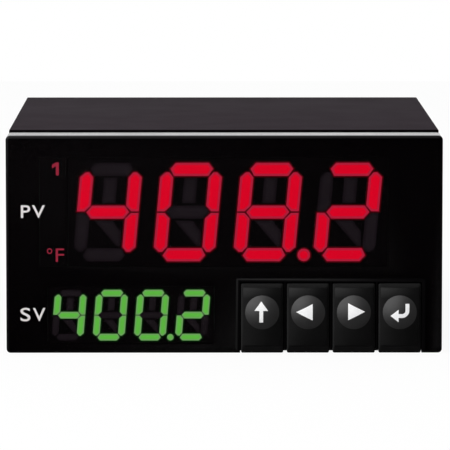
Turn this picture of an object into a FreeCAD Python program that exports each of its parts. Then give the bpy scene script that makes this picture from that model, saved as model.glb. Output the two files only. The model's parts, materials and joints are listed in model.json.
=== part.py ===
import FreeCAD, Part
import math
import os

# Temperature controller for a 92 x 45 mm panel cutout (1/8 DIN), in millimetres.
# X points right, Y to the rear and Z up. The origin is the centre of the panel
# cutout, in the plane of the panel's front face, where the gasket meets it.

Vector = FreeCAD.Vector
ALONG_X = Vector(1, 0, 0)
ALONG_Y = Vector(0, 1, 0)

# Bezel, window and gasket
BEZEL_W = 96.0
BEZEL_H = 48.0
BEZEL_Y = (-11.0, -2.0)
BEZEL_CORNER = 0.9
BEZEL_EDGE = 0.45
BEZEL_LIP = 0.6
WINDOW_Y = (-10.9, -8.9)
WINDOW_GAP = 0.1
SHELF_REAR = -7.4
GASKET_INSET = 0.4
CASE_LEDGE = 1.6
SNAP_ROOT = (-4.4, -2.5)
SNAP_CREST = (-4.0, -3.7)
SNAP_HEIGHT = 0.7
SNAP_W = 4.0
SNAP_Z = (-9.0, 11.0)
BORE_SPARE = 0.6

# How far joined solids run into each other, and a cutting solid past what it cuts
OVERLAP = 0.2
BEYOND = 1.0

# Case, rear panel and mounting sleeve
CASE_W = 91.4
CASE_H = 44.4
CASE_Y = (-5.0, 104.0)
CASE_WALL = 2.0
CASE_CORNER = 0.8
CASE_PLAY = 0.1
REAR_PANEL_T = 2.0
SNAP_PLAY = 0.2
SNAP_POCKET = 0.9
NUB_X = (-20.0, 20.0)
NUB_Y = (102.4, 103.4)
NUB_W = 6.0
NUB_HEIGHT = 0.8
OPENING_PLAY = 0.2
USB_OPENING_PLAY = 0.3
SLEEVE_FRONT = (95.9, 47.9)
SLEEVE_REAR = (95.4, 47.6)
SLEEVE_Y = (6.0, 101.0)
SLEEVE_PLAY = 0.1
SLEEVE_CORNER = 0.15

# Ratchet of the sleeve: racks sunk in the case's sides, a tongue in each sleeve side
RACK_HALF_H = 4.3
RACK_DEPTH = 1.0
RACK_START = 84.0
TOOTH_PITCH = 2.0
TOOTH_HEIGHT = 0.5
TOOTH_TIP = 0.3
TOOTH_COUNT = 8
TONGUE_Y = (62.0, 94.0)
TONGUE_HALF_H = 3.4
TONGUE_SLOT = 0.9
HOOK_LENGTH = 2.2
HOOK_TIP = 0.4
HOOK_PLAY = 0.1
GRIP_COUNT = 3
GRIP_START = 1.6
GRIP_PITCH = 1.8
GRIP_W = 0.9
GRIP_DEPTH = 0.5

# Keypad: four hinged keys in a well that is open at the bottom edge
KEY_NAMES = ("key_up", "key_left", "key_right", "key_enter")
KEY_PITCH = 10.1
KEY_W = 9.3
KEYPAD_LEFT = 3.3
KEY_Z = (-23.95, -8.6)
KEY_PLATE_Y = (-10.95, -9.3)
KEY_PAD_Y = -11.35
KEY_CORNER = 0.35
PAD_FOOT = 0.12
PAD_SIDE = 0.4
PAD_TOP = 0.75
PAD_BOTTOM = 1.4
SKIRT_TOP = -12.0
SKIRT_DEPTH = 0.9
SKIRT_WALL = 0.8
WELL_TOP = -8.3
WELL_FLOOR = (-7.0, -5.6)
WELL_WALL = 0.8
SEPARATOR_W = 0.4
SEPARATOR_FOOT = -23.25
DOME_Z = -14.95
DOME_D = 7.5
DOME_H = 1.2
DOME_RINGS = 3
HINGE_Y = -8.0
HINGE_Z = -9.8
HINGE_RIB_W = 1.4
HINGE_RIB_EDGE = 0.9
BARREL_D = 1.4
BARREL_FLAT = 0.6
BARREL_LENGTH = 8.3
PIN_D = 0.9
PIN_REACH = 0.5
PIN_HOLE_D = 1.0
STEM_D = 2.6
STEM_TIP_D = 1.0
STEM_Y = (-9.4, -4.6)
STEM_NOSE = 0.8
STEM_HOLE_D = 3.6

# Display board with its switches and screws
BOARD_T = 1.6
DISPLAY_BOARD_W = 86.8
DISPLAY_BOARD_H = 39.8
DISPLAY_BOARD_Y = -0.25
POSTS = ((-41.3, -7.4), (41.2, 17.4), (41.2, -3.9), (1.4, -17.4))
POST_D = 4.4
SCREW_D = 1.7
SCREW_PLAY = 0.3
SCREW_HEAD_D = 3.4
SCREW_HEAD_H = 1.3
SCREW_DEPTH = 3.2
SWITCH_SIZE = 6.0
SWITCH_H = 3.5
SWITCH_CORNER = 0.5
PLUNGER_W = 2.4
PLUNGER_EDGE = 0.25
PLUNGER_TIP = -4.55
PLUNGER_FOOT = -2.7
PLUNGER_PLAY = 0.08
PLUNGER_TRAVEL = 0.4

# Digits: nine segments each, drawn for a digit 21.8 mm high and scaled
DIGIT_H = 21.8
DIGIT_HALF_W = 6.8
DIGIT_STROKE = 2.9
DIGIT_SPLIT = 0.34
POINT_D = 2.8
POINT_SIDES = 16
POINT_PLACE = (8.8, -9.5)
SEGMENT_DEPTH = 0.8
DISPLAY_FACE = -8.8
DISPLAY_REAR = -1.2
LIT_PARTS = {"0": "abcdef", "2": "abdeg", "4": "bcfg", "8": "abcdefg"}
PV_DISPLAY = {"text": "408.2", "centre": (0.8, 7.0), "size": (70.4, 24.0),
              "pitch": 17.63, "height": 21.8, "slant": 0.092}
SV_DISPLAY = {"text": "400.2", "centre": (-20.6, -15.86), "size": (36.6, 12.6),
              "pitch": 9.09, "height": 11.3, "slant": 0.083}
APERTURE_GAP = 0.2
BAR_X = (-40.6, -34.7)
BAR_WINDOWS = (((-38.3, -36.1), (14.6, 17.8)), ((-39.3, -35.1), (-4.5, -1.2)))
DISPLAY_PIN = 0.5
PIN_ROW_SPREAD = 0.72
PIN_ROW_INSET = 2.6
BAR_PIN_PITCH = 2.54
BAR_PIN_REACH = 8.9

# Circuit boards inside the case, on rails, with what stands on them
BOARD_W = 86.8
BOARD_Y = (3.2, 98.0)
MAIN_BOARD_Z = -18.2
OUTPUT_BOARD_Z = 3.0
RAIL_Y = (3.0, 102.0)
RAIL_DEPTH = 1.4
RAIL_H = 1.2
LINK_X = ((MAIN_BOARD_Z, -14.0), (OUTPUT_BOARD_Z, 10.0))
LINK_W = 26.4
LINK_LENGTH = 7.2
LINK_H = 5.6
LINK_NOSE = 2.0
LINK_BEVEL = 1.4
TRANSFORMER_PLACE = (24.0, 34.0)
CORE_SIZE = (26.0, 9.0)
CORE_Z = (1.2, 17.4)
BOBBIN_SIZE = (19.2, 22.0, 16.4)
BOBBIN_BEVEL = 1.6
CAPACITOR_PLACE = (24.0, 58.0)
CAPACITOR_D = 12.6
CAPACITOR_H = 18.0
FUSE_PLACE = (34.0, 76.0)
FUSE_SIZE = (8.4, 4.0, 7.8)
FUSE_BEVEL = 0.6
RELAY_COUNT = 3
RELAY_PITCH = 13.0
RELAY_PLACE = (-30.0, 74.0)
RELAY_SIZE = (10.0, 20.0, 15.0)
RELAY_BEVEL = 0.8
CHIP_PLACE = (-16.0, 40.0)
CHIP_W = 10.0
CHIP_Z = (0.15, 1.5)
LEAD_SPREAD = 12.0
LEAD_ROW_W = 8.8
LEAD_H = 0.4
ISOLATOR_COUNT = 4
ISOLATOR_PITCH = 11.0
ISOLATOR_PLACE = (-34.0, 66.0)
ISOLATOR_DEPTH = 4.6

# Pluggable screw terminals: name, first pole's X, number of poles, board below
TERMINAL_PITCH = 5.08
TERMINALS = (("input", -35.0, 8, MAIN_BOARD_Z), ("power", 25.3, 3, MAIN_BOARD_Z),
             ("output", -35.0, 6, OUTPUT_BOARD_Z))
SHROUD_Y = (93.0, 105.0)
SHROUD_H = 8.4
SHROUD_WALL = 0.9
SHROUD_BACK = 1.2
PLUG_PLAY = 0.15
PLUG_NOSE = 95.5
PLUG_STEP = 105.0
PLUG_REAR = 116.0
PLUG_Z = (-0.4, 11.4)
PLUG_LEDGE_Z = 9.6
PLUG_LEDGE = 7.0
PLUG_EDGE = 0.8
LEDGE_BEVEL = (0.8, 1.4)
PIN_SIZE = 1.0
PIN_PLAY = 0.3
PIN_TAIL = 2.0
PIN_RECESS = 3.5
SOCKET_END = 102.5
SHROUD_MARGIN = 3.44
ENTRY_SIZE = 3.6
ENTRY_DEPTH = 7.0
ENTRY_Z = (1.4, 6.4)
CLAMP_DEPTH = 5.0
CLAMP_H = 1.2
CLAMP_SCREW_D = 3.2
CLAMP_SCREW_H = 1.0
CLAMP_SCREW_Y = 112.5
USB_X = 22.0
USB_SIZE = (8.0, 3.2)
USB_Y = (95.0, 104.4)
USB_WALL = 0.35
USB_CORNER = 0.8
USB_TONGUE = (5.4, 0.8)

# Flat sides of round pieces
SMALL_SIDES = 10
LARGE_SIDES = 24


# Basic shapes

def around(centre, size):
    """Low and high end of a span about its centre."""
    return (centre - size / 2, centre + size / 2)


def grown(span, margin):
    """A span made longer by a margin at each end."""
    return (span[0] - margin, span[1] + margin)


def block(x, y, z):
    """Box between the low and high ends along X, Y and Z."""
    corner = Vector(x[0], y[0], z[0])
    return Part.makeBox(x[1] - x[0], y[1] - y[0], z[1] - z[0], corner)


def closed(points):
    """Closed wire through points."""
    return Part.makePolygon(points + points[:1])


def at_depth(outline, y):
    """Points of an (x, z) outline at one depth."""
    return [Vector(px, y, pz) for px, pz in outline]


def front_prism(outline, y):
    """Solid with an outline of (x, z) points, between two depths."""
    return Part.Face(closed(at_depth(outline, y[0]))).extrude(Vector(0, y[1] - y[0], 0))


def side_prism(outline, x):
    """Solid with a side outline of (y, z) points, between two ends along X."""
    points = [Vector(x[0], py, pz) for py, pz in outline]
    return Part.Face(closed(points)).extrude(Vector(x[1] - x[0], 0, 0))


def top_prism(outline, z):
    """Solid with a plan outline of (x, y) points, between two heights."""
    points = [Vector(px, py, z[0]) for px, py in outline]
    return Part.Face(closed(points)).extrude(Vector(0, 0, z[1] - z[0]))


def circle(u, v, diameter, sides=SMALL_SIDES):
    """Outline of a round piece, as a regular polygon about (u, v)."""
    step = 2 * math.pi / sides
    return [(u + diameter / 2 * math.cos(step * number), v + diameter / 2 * math.sin(step * number))
            for number in range(sides)]


def rod(diameter, y, x, z):
    """Round rod along Y."""
    return front_prism(circle(x, z, diameter), y)


def stacked(rings):
    """Solid through rings of points, with flat faces from ring to ring."""
    faces = [Part.Face(closed(rings[0])), Part.Face(closed(rings[-1]))]
    for lower, upper in zip(rings, rings[1:]):
        for here in range(len(lower)):
            after = (here + 1) % len(lower)
            faces.append(Part.Face(closed([lower[here], lower[after], upper[after], upper[here]])))
    solid = Part.makeSolid(Part.makeShell(faces))
    if solid.Volume < 0:
        solid.reverse()
    return solid


def edges_along(shape, direction):
    """Straight edges of a shape that run along a direction."""
    found = []
    for edge in shape.Edges:
        if isinstance(edge.Curve, Part.Line) and abs(edge.tangentAt(0).dot(direction)) > 0.999:
            found.append(edge)
    return found


def edges_at_y(shape, depth):
    """Edges of a shape that lie wholly at one depth."""
    found = []
    for edge in shape.Edges:
        box = edge.BoundBox
        if abs(box.YMin - depth) < 0.001 and abs(box.YMax - depth) < 0.001:
            found.append(edge)
    return found


def bevelled_block(x, y, z, bevel):
    """Box whose four edges along Y are bevelled."""
    shape = block(x, y, z)
    return shape.makeChamfer(bevel, edges_along(shape, ALONG_Y))


def group(solids):
    """Several separate solids of one node."""
    return Part.makeCompound(solids)


# Bezel, window and gasket

def key_centre(index):
    """X of a key's centre."""
    return KEYPAD_LEFT + KEY_PITCH * (index + 0.5)


def well_span():
    """Low and high X of the key well."""
    width = KEY_PITCH * len(KEY_NAMES) - SEPARATOR_W
    return around(KEYPAD_LEFT + KEY_PITCH * len(KEY_NAMES) / 2, width)


def display_block(display, y, margin=0.0):
    """Box round one display, between two depths."""
    x = grown(around(display["centre"][0], display["size"][0]), margin)
    z = grown(around(display["centre"][1], display["size"][1]), margin)
    return block(x, y, z)


def bezel_shell():
    """Front moulding with its window recess, shelf and rear cavities."""
    shell = block(around(0, BEZEL_W), BEZEL_Y, around(0, BEZEL_H))
    shell = shell.makeFillet(BEZEL_CORNER, edges_along(shell, ALONG_Y))
    shell = shell.makeChamfer(BEZEL_EDGE, edges_at_y(shell, BEZEL_Y[0]))
    recess = block(around(0, BEZEL_W - 2 * BEZEL_LIP), (BEZEL_Y[0] - BEYOND, WINDOW_Y[1]),
                   around(0, BEZEL_H - 2 * BEZEL_LIP))
    frame = block(grown(well_span(), WELL_WALL), BEZEL_Y, (-BEZEL_H / 2, WELL_TOP + WELL_WALL))
    shell = shell.cut(recess.cut(frame))
    hollow = block(around(0, CASE_W - 2 * CASE_LEDGE), (SHELF_REAR, CASE_Y[0]),
                   around(0, CASE_H - 2 * CASE_LEDGE))
    pocket = block(around(0, CASE_W + 2 * CASE_PLAY), (CASE_Y[0], BEZEL_Y[1]),
                   around(0, CASE_H + 2 * CASE_PLAY))
    return shell.cut([hollow, pocket])


def display_apertures():
    """Openings in the shelf for the two displays and the indicator bar."""
    pv = display_block(PV_DISPLAY, (WINDOW_Y[1], SHELF_REAR), APERTURE_GAP)
    bar = block(grown(BAR_X, APERTURE_GAP), (WINDOW_Y[1], SHELF_REAR),
                grown(around(PV_DISPLAY["centre"][1], PV_DISPLAY["size"][1]), APERTURE_GAP))
    sv = display_block(SV_DISPLAY, (WINDOW_Y[1], CASE_Y[0]), APERTURE_GAP)
    return [pv.fuse(bar), sv]


def key_well(bezel):
    """Bezel with the key well, its hinge ribs, separators and stem holes."""
    span = well_span()
    floor = block(grown(span, 2 * WELL_WALL), (SHELF_REAR, WELL_FLOOR[1]),
                  (-BEZEL_H / 2, WELL_TOP + 2 * WELL_WALL))
    bezel = bezel.fuse(floor)
    bezel = bezel.cut(block(span, (BEZEL_Y[0] - BEYOND, WELL_FLOOR[0]),
                            (-BEZEL_H / 2 - BEYOND, WELL_TOP)))
    walls = []
    for index in range(len(KEY_NAMES) + 1):
        x = KEYPAD_LEFT + KEY_PITCH * index
        walls.append(block(around(x, HINGE_RIB_W), (HINGE_Y - HINGE_RIB_EDGE, WELL_FLOOR[0]),
                           (HINGE_Z - HINGE_RIB_EDGE, WELL_TOP)))
        if 0 < index < len(KEY_NAMES):
            walls.append(block(around(x, SEPARATOR_W), (KEY_PLATE_Y[0], WELL_FLOOR[0]),
                               (SEPARATOR_FOOT, WELL_TOP)))
    bezel = bezel.fuse(walls)
    holes = [side_prism(circle(HINGE_Y, HINGE_Z, PIN_HOLE_D), grown(span, PIN_REACH))]
    for index in range(len(KEY_NAMES)):
        holes.append(rod(STEM_HOLE_D, WELL_FLOOR, key_centre(index), DOME_Z))
    return bezel.cut(holes)


def bezel_snaps():
    """Four wedges on the inner sides that click into the case."""
    snaps = []
    for side in (-1, 1):
        wall = side * (CASE_W / 2 + CASE_PLAY)
        root = wall + side * OVERLAP
        crest = wall - side * SNAP_HEIGHT
        outline = [(root, SNAP_ROOT[0]), (wall, SNAP_ROOT[0]), (crest, SNAP_CREST[0]),
                   (crest, SNAP_CREST[1]), (wall, SNAP_ROOT[1]), (root, SNAP_ROOT[1])]
        for height in SNAP_Z:
            snaps.append(top_prism(outline, around(height, SNAP_W)))
    return snaps


def front_bezel():
    """Moulded bezel, with posts for the display board."""
    bezel = key_well(bezel_shell().cut(display_apertures()))
    posts = [rod(POST_D, (SHELF_REAR, DISPLAY_BOARD_Y), x, z) for x, z in POSTS]
    depth = (DISPLAY_BOARD_Y - SCREW_DEPTH - BORE_SPARE, DISPLAY_BOARD_Y)
    bores = [rod(SCREW_D, depth, x, z) for x, z in POSTS]
    bezel = bezel.fuse(posts + bezel_snaps())
    return bezel.cut(bores)


def display_window():
    """Smoked plate that fills the bezel's recess round the key well."""
    plate = block(around(0, BEZEL_W - 2 * (BEZEL_LIP + WINDOW_GAP)), WINDOW_Y,
                  around(0, BEZEL_H - 2 * (BEZEL_LIP + WINDOW_GAP)))
    notch = block(grown(well_span(), WELL_WALL + WINDOW_GAP), grown(WINDOW_Y, BEYOND),
                  (-BEZEL_H / 2 - BEYOND, WELL_TOP + WELL_WALL + WINDOW_GAP))
    return plate.cut(notch)


def panel_gasket():
    """Flat sealing ring between the bezel and the panel."""
    depth = (BEZEL_Y[1], 0.0)
    ring = block(around(0, BEZEL_W - 2 * GASKET_INSET), depth,
                 around(0, BEZEL_H - 2 * GASKET_INSET))
    return ring.cut(block(around(0, CASE_W + 2 * CASE_PLAY), depth,
                          around(0, CASE_H + 2 * CASE_PLAY)))


# Keys and switches

def key_pad(x):
    """Raised pad of a key: a bevelled block that narrows to the front."""
    left, right = grown(x, -PAD_FOOT)
    low, high = grown(KEY_Z, -PAD_FOOT)
    rear = [(left, low), (right, low), (right, high), (left, high)]
    left, right = grown(x, -PAD_SIDE)
    low = KEY_Z[0] + PAD_BOTTOM
    high = KEY_Z[1] - PAD_TOP
    front = [(left, low), (right, low), (right, high), (left, high)]
    return stacked([at_depth(rear, KEY_PLATE_Y[0] + OVERLAP), at_depth(front, KEY_PAD_Y)])


def key_dome(x):
    """Shallow dome under the finger, in flat-sided rings."""
    radius = DOME_D / 2
    sphere = (radius ** 2 + DOME_H ** 2) / (2 * DOME_H)
    rings = [at_depth(circle(x, DOME_Z, DOME_D, LARGE_SIDES), KEY_PAD_Y + OVERLAP)]
    for number in range(DOME_RINGS):
        reach = radius * (1 - number / DOME_RINGS)
        depth = KEY_PAD_Y - DOME_H + sphere - math.sqrt(sphere ** 2 - reach ** 2)
        rings.append(at_depth(circle(x, DOME_Z, 2 * reach, LARGE_SIDES), depth))
    return stacked(rings)


def key_skirt(x):
    """Stiffening rim behind a key's plate, along its sides and bottom."""
    depth = (KEY_PLATE_Y[1], KEY_PLATE_Y[1] + SKIRT_DEPTH)
    outer = block(x, depth, (KEY_Z[0], SKIRT_TOP))
    inner = block(grown(x, -SKIRT_WALL), depth, (KEY_Z[0] + SKIRT_WALL, SKIRT_TOP + BEYOND))
    return outer.cut(inner)


def key_hinge(centre):
    """Barrel along the top of a key, with a pin at each end."""
    barrel = around(centre, BARREL_LENGTH)
    reach = (KEY_PITCH - HINGE_RIB_W) / 2 + PIN_REACH
    half = BARREL_D / 2
    flat = BARREL_FLAT / 2
    root = KEY_PLATE_Y[1] - OVERLAP
    outline = [(root, HINGE_Z - half), (HINGE_Y + flat, HINGE_Z - half),
               (HINGE_Y + half, HINGE_Z - flat), (HINGE_Y + half, HINGE_Z + flat),
               (HINGE_Y + flat, HINGE_Z + half), (root, HINGE_Z + half)]
    pin = side_prism(circle(HINGE_Y, HINGE_Z, PIN_D), (centre - reach, centre + reach))
    return [side_prism(outline, barrel), pin]


def key_stem(centre):
    """Stem behind a key's dome that presses the switch."""
    foot = circle(centre, DOME_Z, STEM_D)
    tip = circle(centre, DOME_Z, STEM_TIP_D)
    return [stacked([at_depth(foot, STEM_Y[0]), at_depth(foot, STEM_Y[1] - STEM_NOSE),
                     at_depth(tip, STEM_Y[1])])]


def key(index):
    """One key: plate, pad, dome, rim, hinge and stem in one moulding."""
    centre = key_centre(index)
    x = around(centre, KEY_W)
    plate = bevelled_block(x, KEY_PLATE_Y, KEY_Z, KEY_CORNER)
    pieces = [key_pad(x), key_dome(centre), key_skirt(x)] + key_hinge(centre) + key_stem(centre)
    return plate.fuse(pieces).removeSplitter()


def tact_switch_bodies():
    """Four square switch housings on the display board."""
    bodies = []
    depth = (DISPLAY_BOARD_Y - SWITCH_H, DISPLAY_BOARD_Y)
    for index in range(len(KEY_NAMES)):
        centre = key_centre(index)
        body = bevelled_block(around(centre, SWITCH_SIZE), depth, around(DOME_Z, SWITCH_SIZE),
                              SWITCH_CORNER)
        width = PLUNGER_W + 2 * PLUNGER_PLAY
        bore = block(around(centre, width), (depth[0], PLUNGER_FOOT + PLUNGER_TRAVEL),
                     around(DOME_Z, width))
        bodies.append(body.cut(bore))
    return group(bodies)


def switch_plunger(index):
    """Square actuator of one switch."""
    plunger = block(around(key_centre(index), PLUNGER_W), (PLUNGER_TIP, PLUNGER_FOOT),
                    around(DOME_Z, PLUNGER_W))
    return plunger.makeChamfer(PLUNGER_EDGE, edges_at_y(plunger, PLUNGER_TIP))


# Display board and displays

def display_board():
    """Circuit board behind the front, with clearance holes for its screws."""
    depth = (DISPLAY_BOARD_Y, DISPLAY_BOARD_Y + BOARD_T)
    board = block(around(0, DISPLAY_BOARD_W), depth, around(0, DISPLAY_BOARD_H))
    return board.cut([rod(SCREW_D + SCREW_PLAY, depth, x, z) for x, z in POSTS])


def board_screws():
    """Pan-head screws that hold the display board on the bezel's posts."""
    seat = DISPLAY_BOARD_Y + BOARD_T
    screws = []
    for x, z in POSTS:
        head = rod(SCREW_HEAD_D, (seat, seat + SCREW_HEAD_H), x, z)
        screws.append(head.fuse(rod(SCREW_D, (DISPLAY_BOARD_Y - SCREW_DEPTH, seat), x, z)))
    return group(screws)


def segment_outlines():
    """Outlines (u, v) of one digit's segments, about its centre."""
    half = DIGIT_H / 2
    side = DIGIT_HALF_W
    inner = side - DIGIT_STROKE
    split = DIGIT_SPLIT / 2
    upright = [(-side, split), (-side + 1.7, split), (-inner, 1.4), (-inner, 7.7),
               (-inner - 0.95, 8.8), (-side + 1.15, 8.8), (-side, 7.75)]
    bar = [(-inner + 0.1, half - DIGIT_STROKE), (inner - 0.1, half - DIGIT_STROKE),
           (inner + 0.8, half - 1.3), (inner - 0.3, half),
           (-inner + 0.3, half), (-inner - 0.8, half - 1.3)]
    middle = [(-4.75, 0.0), (-3.6, -1.44), (3.6, -1.44), (4.75, 0.0), (3.6, 1.44), (-3.6, 1.44)]
    post = [(-1.45, 2.0), (1.45, 2.0), (1.45, 7.6), (-1.45, 7.6)]
    brace = [(-2.75, -1.9), (1.2, -1.9), (3.3, -4.4), (3.5, -7.5), (2.6, -7.5)]
    return {
        "a": bar,
        "b": [(-u, v) for u, v in upright],
        "c": [(-u, -v) for u, v in upright],
        "d": [(u, -v) for u, v in bar],
        "e": [(u, -v) for u, v in upright],
        "f": upright,
        "g": middle,
        "post": post,
        "brace": brace,
    }


def digit_segment(display, outline, place):
    """One segment as a solid, leaning with the digit."""
    scale = display["height"] / DIGIT_H
    slant = display["slant"]
    cx, cz = display["centre"]
    points = [(cx + place * display["pitch"] + scale * (u + slant * v), cz + scale * v)
              for u, v in outline]
    return front_prism(points, (DISPLAY_FACE, DISPLAY_FACE + SEGMENT_DEPTH))


def decimal_point(display, place):
    """Round dot at the lower right of one digit."""
    scale = display["height"] / DIGIT_H
    u, v = POINT_PLACE
    x = display["centre"][0] + place * display["pitch"] + scale * (u + display["slant"] * v)
    z = display["centre"][1] + scale * v
    outline = circle(x, z, POINT_D * scale, POINT_SIDES)
    return front_prism(outline, (DISPLAY_FACE, DISPLAY_FACE + SEGMENT_DEPTH))


def display_segments(display):
    """Lit and unlit segments of a display that shows its number."""
    outlines = segment_outlines()
    lit = []
    unlit = []
    place = -1.5
    for sign in display["text"]:
        if sign == ".":
            lit.append(decimal_point(display, place - 1))
            continue
        for name, outline in outlines.items():
            solid = digit_segment(display, outline, place)
            if name in LIT_PARTS[sign]:
                lit.append(solid)
            else:
                unlit.append(solid)
        place += 1
    return lit, unlit


def display_body(display, segments):
    """Moulded display housing with a cavity for each segment."""
    return display_block(display, (DISPLAY_FACE, DISPLAY_REAR)).cut(segments)


def annunciator_windows():
    """Two light windows, for the channel number and the unit."""
    depth = (DISPLAY_FACE, DISPLAY_FACE + SEGMENT_DEPTH)
    return [block(x, depth, z) for x, z in BAR_WINDOWS]


def annunciator_bar():
    """Narrow light bar beside the upper display."""
    height = around(PV_DISPLAY["centre"][1], PV_DISPLAY["size"][1])
    return block(BAR_X, (DISPLAY_FACE, DISPLAY_REAR), height).cut(annunciator_windows())


def pin_row(first, last, count, z, depth):
    """Row of square pins along X."""
    step = (last - first) / (count - 1)
    return [block(around(first + step * number, DISPLAY_PIN), depth, around(z, DISPLAY_PIN))
            for number in range(count)]


def display_pins():
    """Pins that carry the displays and the indicator bar on their board."""
    depth = (DISPLAY_REAR, DISPLAY_BOARD_Y)
    pins = []
    for display, count in ((PV_DISPLAY, 5), (SV_DISPLAY, 4)):
        x, z = display["centre"]
        for side in (-1, 1):
            first, last = around(x, display["size"][0] * PIN_ROW_SPREAD)
            row = z + side * (display["size"][1] / 2 - PIN_ROW_INSET)
            pins += pin_row(first, last, count, row, depth)
    first, last = around(sum(BAR_X) / 2, BAR_PIN_PITCH)
    for row in around(PV_DISPLAY["centre"][1], 2 * BAR_PIN_REACH):
        pins += pin_row(first, last, 2, row, depth)
    return group(pins)


# Case, rear panel and sleeve

def case_rails():
    """Rails inside the case's sides that hold the two boards."""
    rails = []
    wall = CASE_W / 2 - CASE_WALL
    for side in (-1, 1):
        x = sorted((side * (wall + OVERLAP), side * (wall - RAIL_DEPTH)))
        for board in (MAIN_BOARD_Z, OUTPUT_BOARD_Z):
            top = board + BOARD_T + CASE_PLAY
            rails.append(block(x, RAIL_Y, (board - RAIL_H, board)))
            rails.append(block(x, RAIL_Y, (top, top + RAIL_H)))
    return rails


def rack_recess(side):
    """Toothed recess for the ratchet, cut from one side of the case."""
    face = CASE_W / 2
    crest = face - RACK_DEPTH + TOOTH_HEIGHT
    floor = face - RACK_DEPTH
    outline = [(side * (face + BEYOND), RACK_START), (side * floor, RACK_START)]
    for number in range(TOOTH_COUNT):
        start = RACK_START + TOOTH_PITCH * (number + 1)
        outline.append((side * floor, start))
        outline.append((side * crest, start))
        outline.append((side * crest, start + TOOTH_TIP))
    outline.append((side * floor, RACK_START + TOOTH_PITCH * (TOOTH_COUNT + 1)))
    outline.append((side * floor, CASE_Y[1] + BEYOND))
    outline.append((side * (face + BEYOND), CASE_Y[1] + BEYOND))
    return top_prism(outline, (-RACK_HALF_H, RACK_HALF_H))


def case_snap_pockets():
    """Pockets for the bezel's wedges and for the rear panel's nubs."""
    pockets = []
    roof = CASE_H / 2 - CASE_WALL
    for side in (-1, 1):
        x = sorted((side * CASE_W / 2, side * (CASE_W / 2 - SNAP_POCKET)))
        for height in SNAP_Z:
            pockets.append(block(x, grown(SNAP_ROOT, SNAP_PLAY / 2),
                                 around(height, SNAP_W + 2 * SNAP_PLAY)))
        z = sorted((side * roof, side * (roof + SNAP_POCKET)))
        for middle in NUB_X:
            pockets.append(block(around(middle, NUB_W + 2 * SNAP_PLAY),
                                 grown(NUB_Y, SNAP_PLAY / 2), z))
    return pockets


def case():
    """Extruded box that holds the boards, open at both ends."""
    outer = bevelled_block(around(0, CASE_W), CASE_Y, around(0, CASE_H), CASE_CORNER)
    inner = block(around(0, CASE_W - 2 * CASE_WALL), grown(CASE_Y, BEYOND),
                  around(0, CASE_H - 2 * CASE_WALL))
    shell = outer.cut(inner).fuse(case_rails())
    relief = display_block(SV_DISPLAY, (CASE_Y[0] - BEYOND, DISPLAY_REAR + APERTURE_GAP),
                           APERTURE_GAP)
    return shell.cut([relief, rack_recess(-1), rack_recess(1)] + case_snap_pockets())


def rear_panel():
    """Cover of the case's rear, with openings for the connectors."""
    width = CASE_W - 2 * (CASE_WALL + CASE_PLAY)
    height = CASE_H - 2 * (CASE_WALL + CASE_PLAY)
    depth = (RAIL_Y[1], RAIL_Y[1] + REAR_PANEL_T)
    panel = block(around(0, width), depth, around(0, height))
    nubs = []
    for side in (-1, 1):
        z = sorted((side * (height / 2 - OVERLAP), side * (height / 2 + NUB_HEIGHT)))
        for middle in NUB_X:
            nubs.append(block(around(middle, NUB_W), NUB_Y, z))
    openings = []
    for name, first, poles, board in TERMINALS:
        x = grown(shroud_span(first, poles), OPENING_PLAY)
        top = board + BOARD_T
        openings.append(block(x, depth, grown((top, top + SHROUD_H), OPENING_PLAY)))
    x = grown(around(USB_X, USB_SIZE[0]), USB_OPENING_PLAY)
    top = OUTPUT_BOARD_Z + BOARD_T
    openings.append(block(x, depth, grown((top, top + USB_SIZE[1]), USB_OPENING_PLAY)))
    return panel.fuse(nubs).cut(openings)


def sleeve_ring(size, y):
    """Outline of the sleeve at one depth, with its corners cut off."""
    x = size[0] / 2
    z = size[1] / 2
    cut = SLEEVE_CORNER
    outline = [(cut - x, -z), (x - cut, -z), (x, cut - z), (x, z - cut),
               (x - cut, z), (cut - x, z), (-x, z - cut), (-x, cut - z)]
    return at_depth(outline, y)


def tongue_slot(side):
    """U-shaped slot that frees the tongue in one side of the sleeve."""
    x = sorted((side * (CASE_W / 2 - BEYOND), side * (SLEEVE_FRONT[0] / 2 + BEYOND)))
    slot = block(x, (TONGUE_Y[0], TONGUE_Y[1] + TONGUE_SLOT),
                 around(0, 2 * (TONGUE_HALF_H + TONGUE_SLOT)))
    return slot.cut(block(x, TONGUE_Y, around(0, 2 * TONGUE_HALF_H)))


def tongue_hook(side):
    """Hook inside the tongue's tip that looks into the rack."""
    wall = side * (CASE_W / 2 + SLEEVE_PLAY)
    root = wall + side * OVERLAP
    tip = side * (CASE_W / 2 - RACK_DEPTH + TOOTH_HEIGHT + HOOK_PLAY)
    rear = TONGUE_Y[1]
    outline = [(root, rear), (tip, rear), (tip, rear - HOOK_TIP), (wall, rear - HOOK_LENGTH),
               (root, rear - HOOK_LENGTH)]
    return top_prism(outline, (-TONGUE_HALF_H, TONGUE_HALF_H))


def tongue_grips(side):
    """Finger grooves across the tongue's outer face."""
    face = side * (SLEEVE_REAR[0] / 2 + OVERLAP)
    floor = side * (SLEEVE_REAR[0] / 2 - GRIP_DEPTH)
    grooves = []
    for number in range(GRIP_COUNT):
        rear = TONGUE_Y[1] - GRIP_START - GRIP_PITCH * number
        outline = [(face, rear), (floor, rear - GRIP_W / 2), (face, rear - GRIP_W)]
        grooves.append(top_prism(outline, (-TONGUE_HALF_H, TONGUE_HALF_H)))
    return grooves


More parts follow.
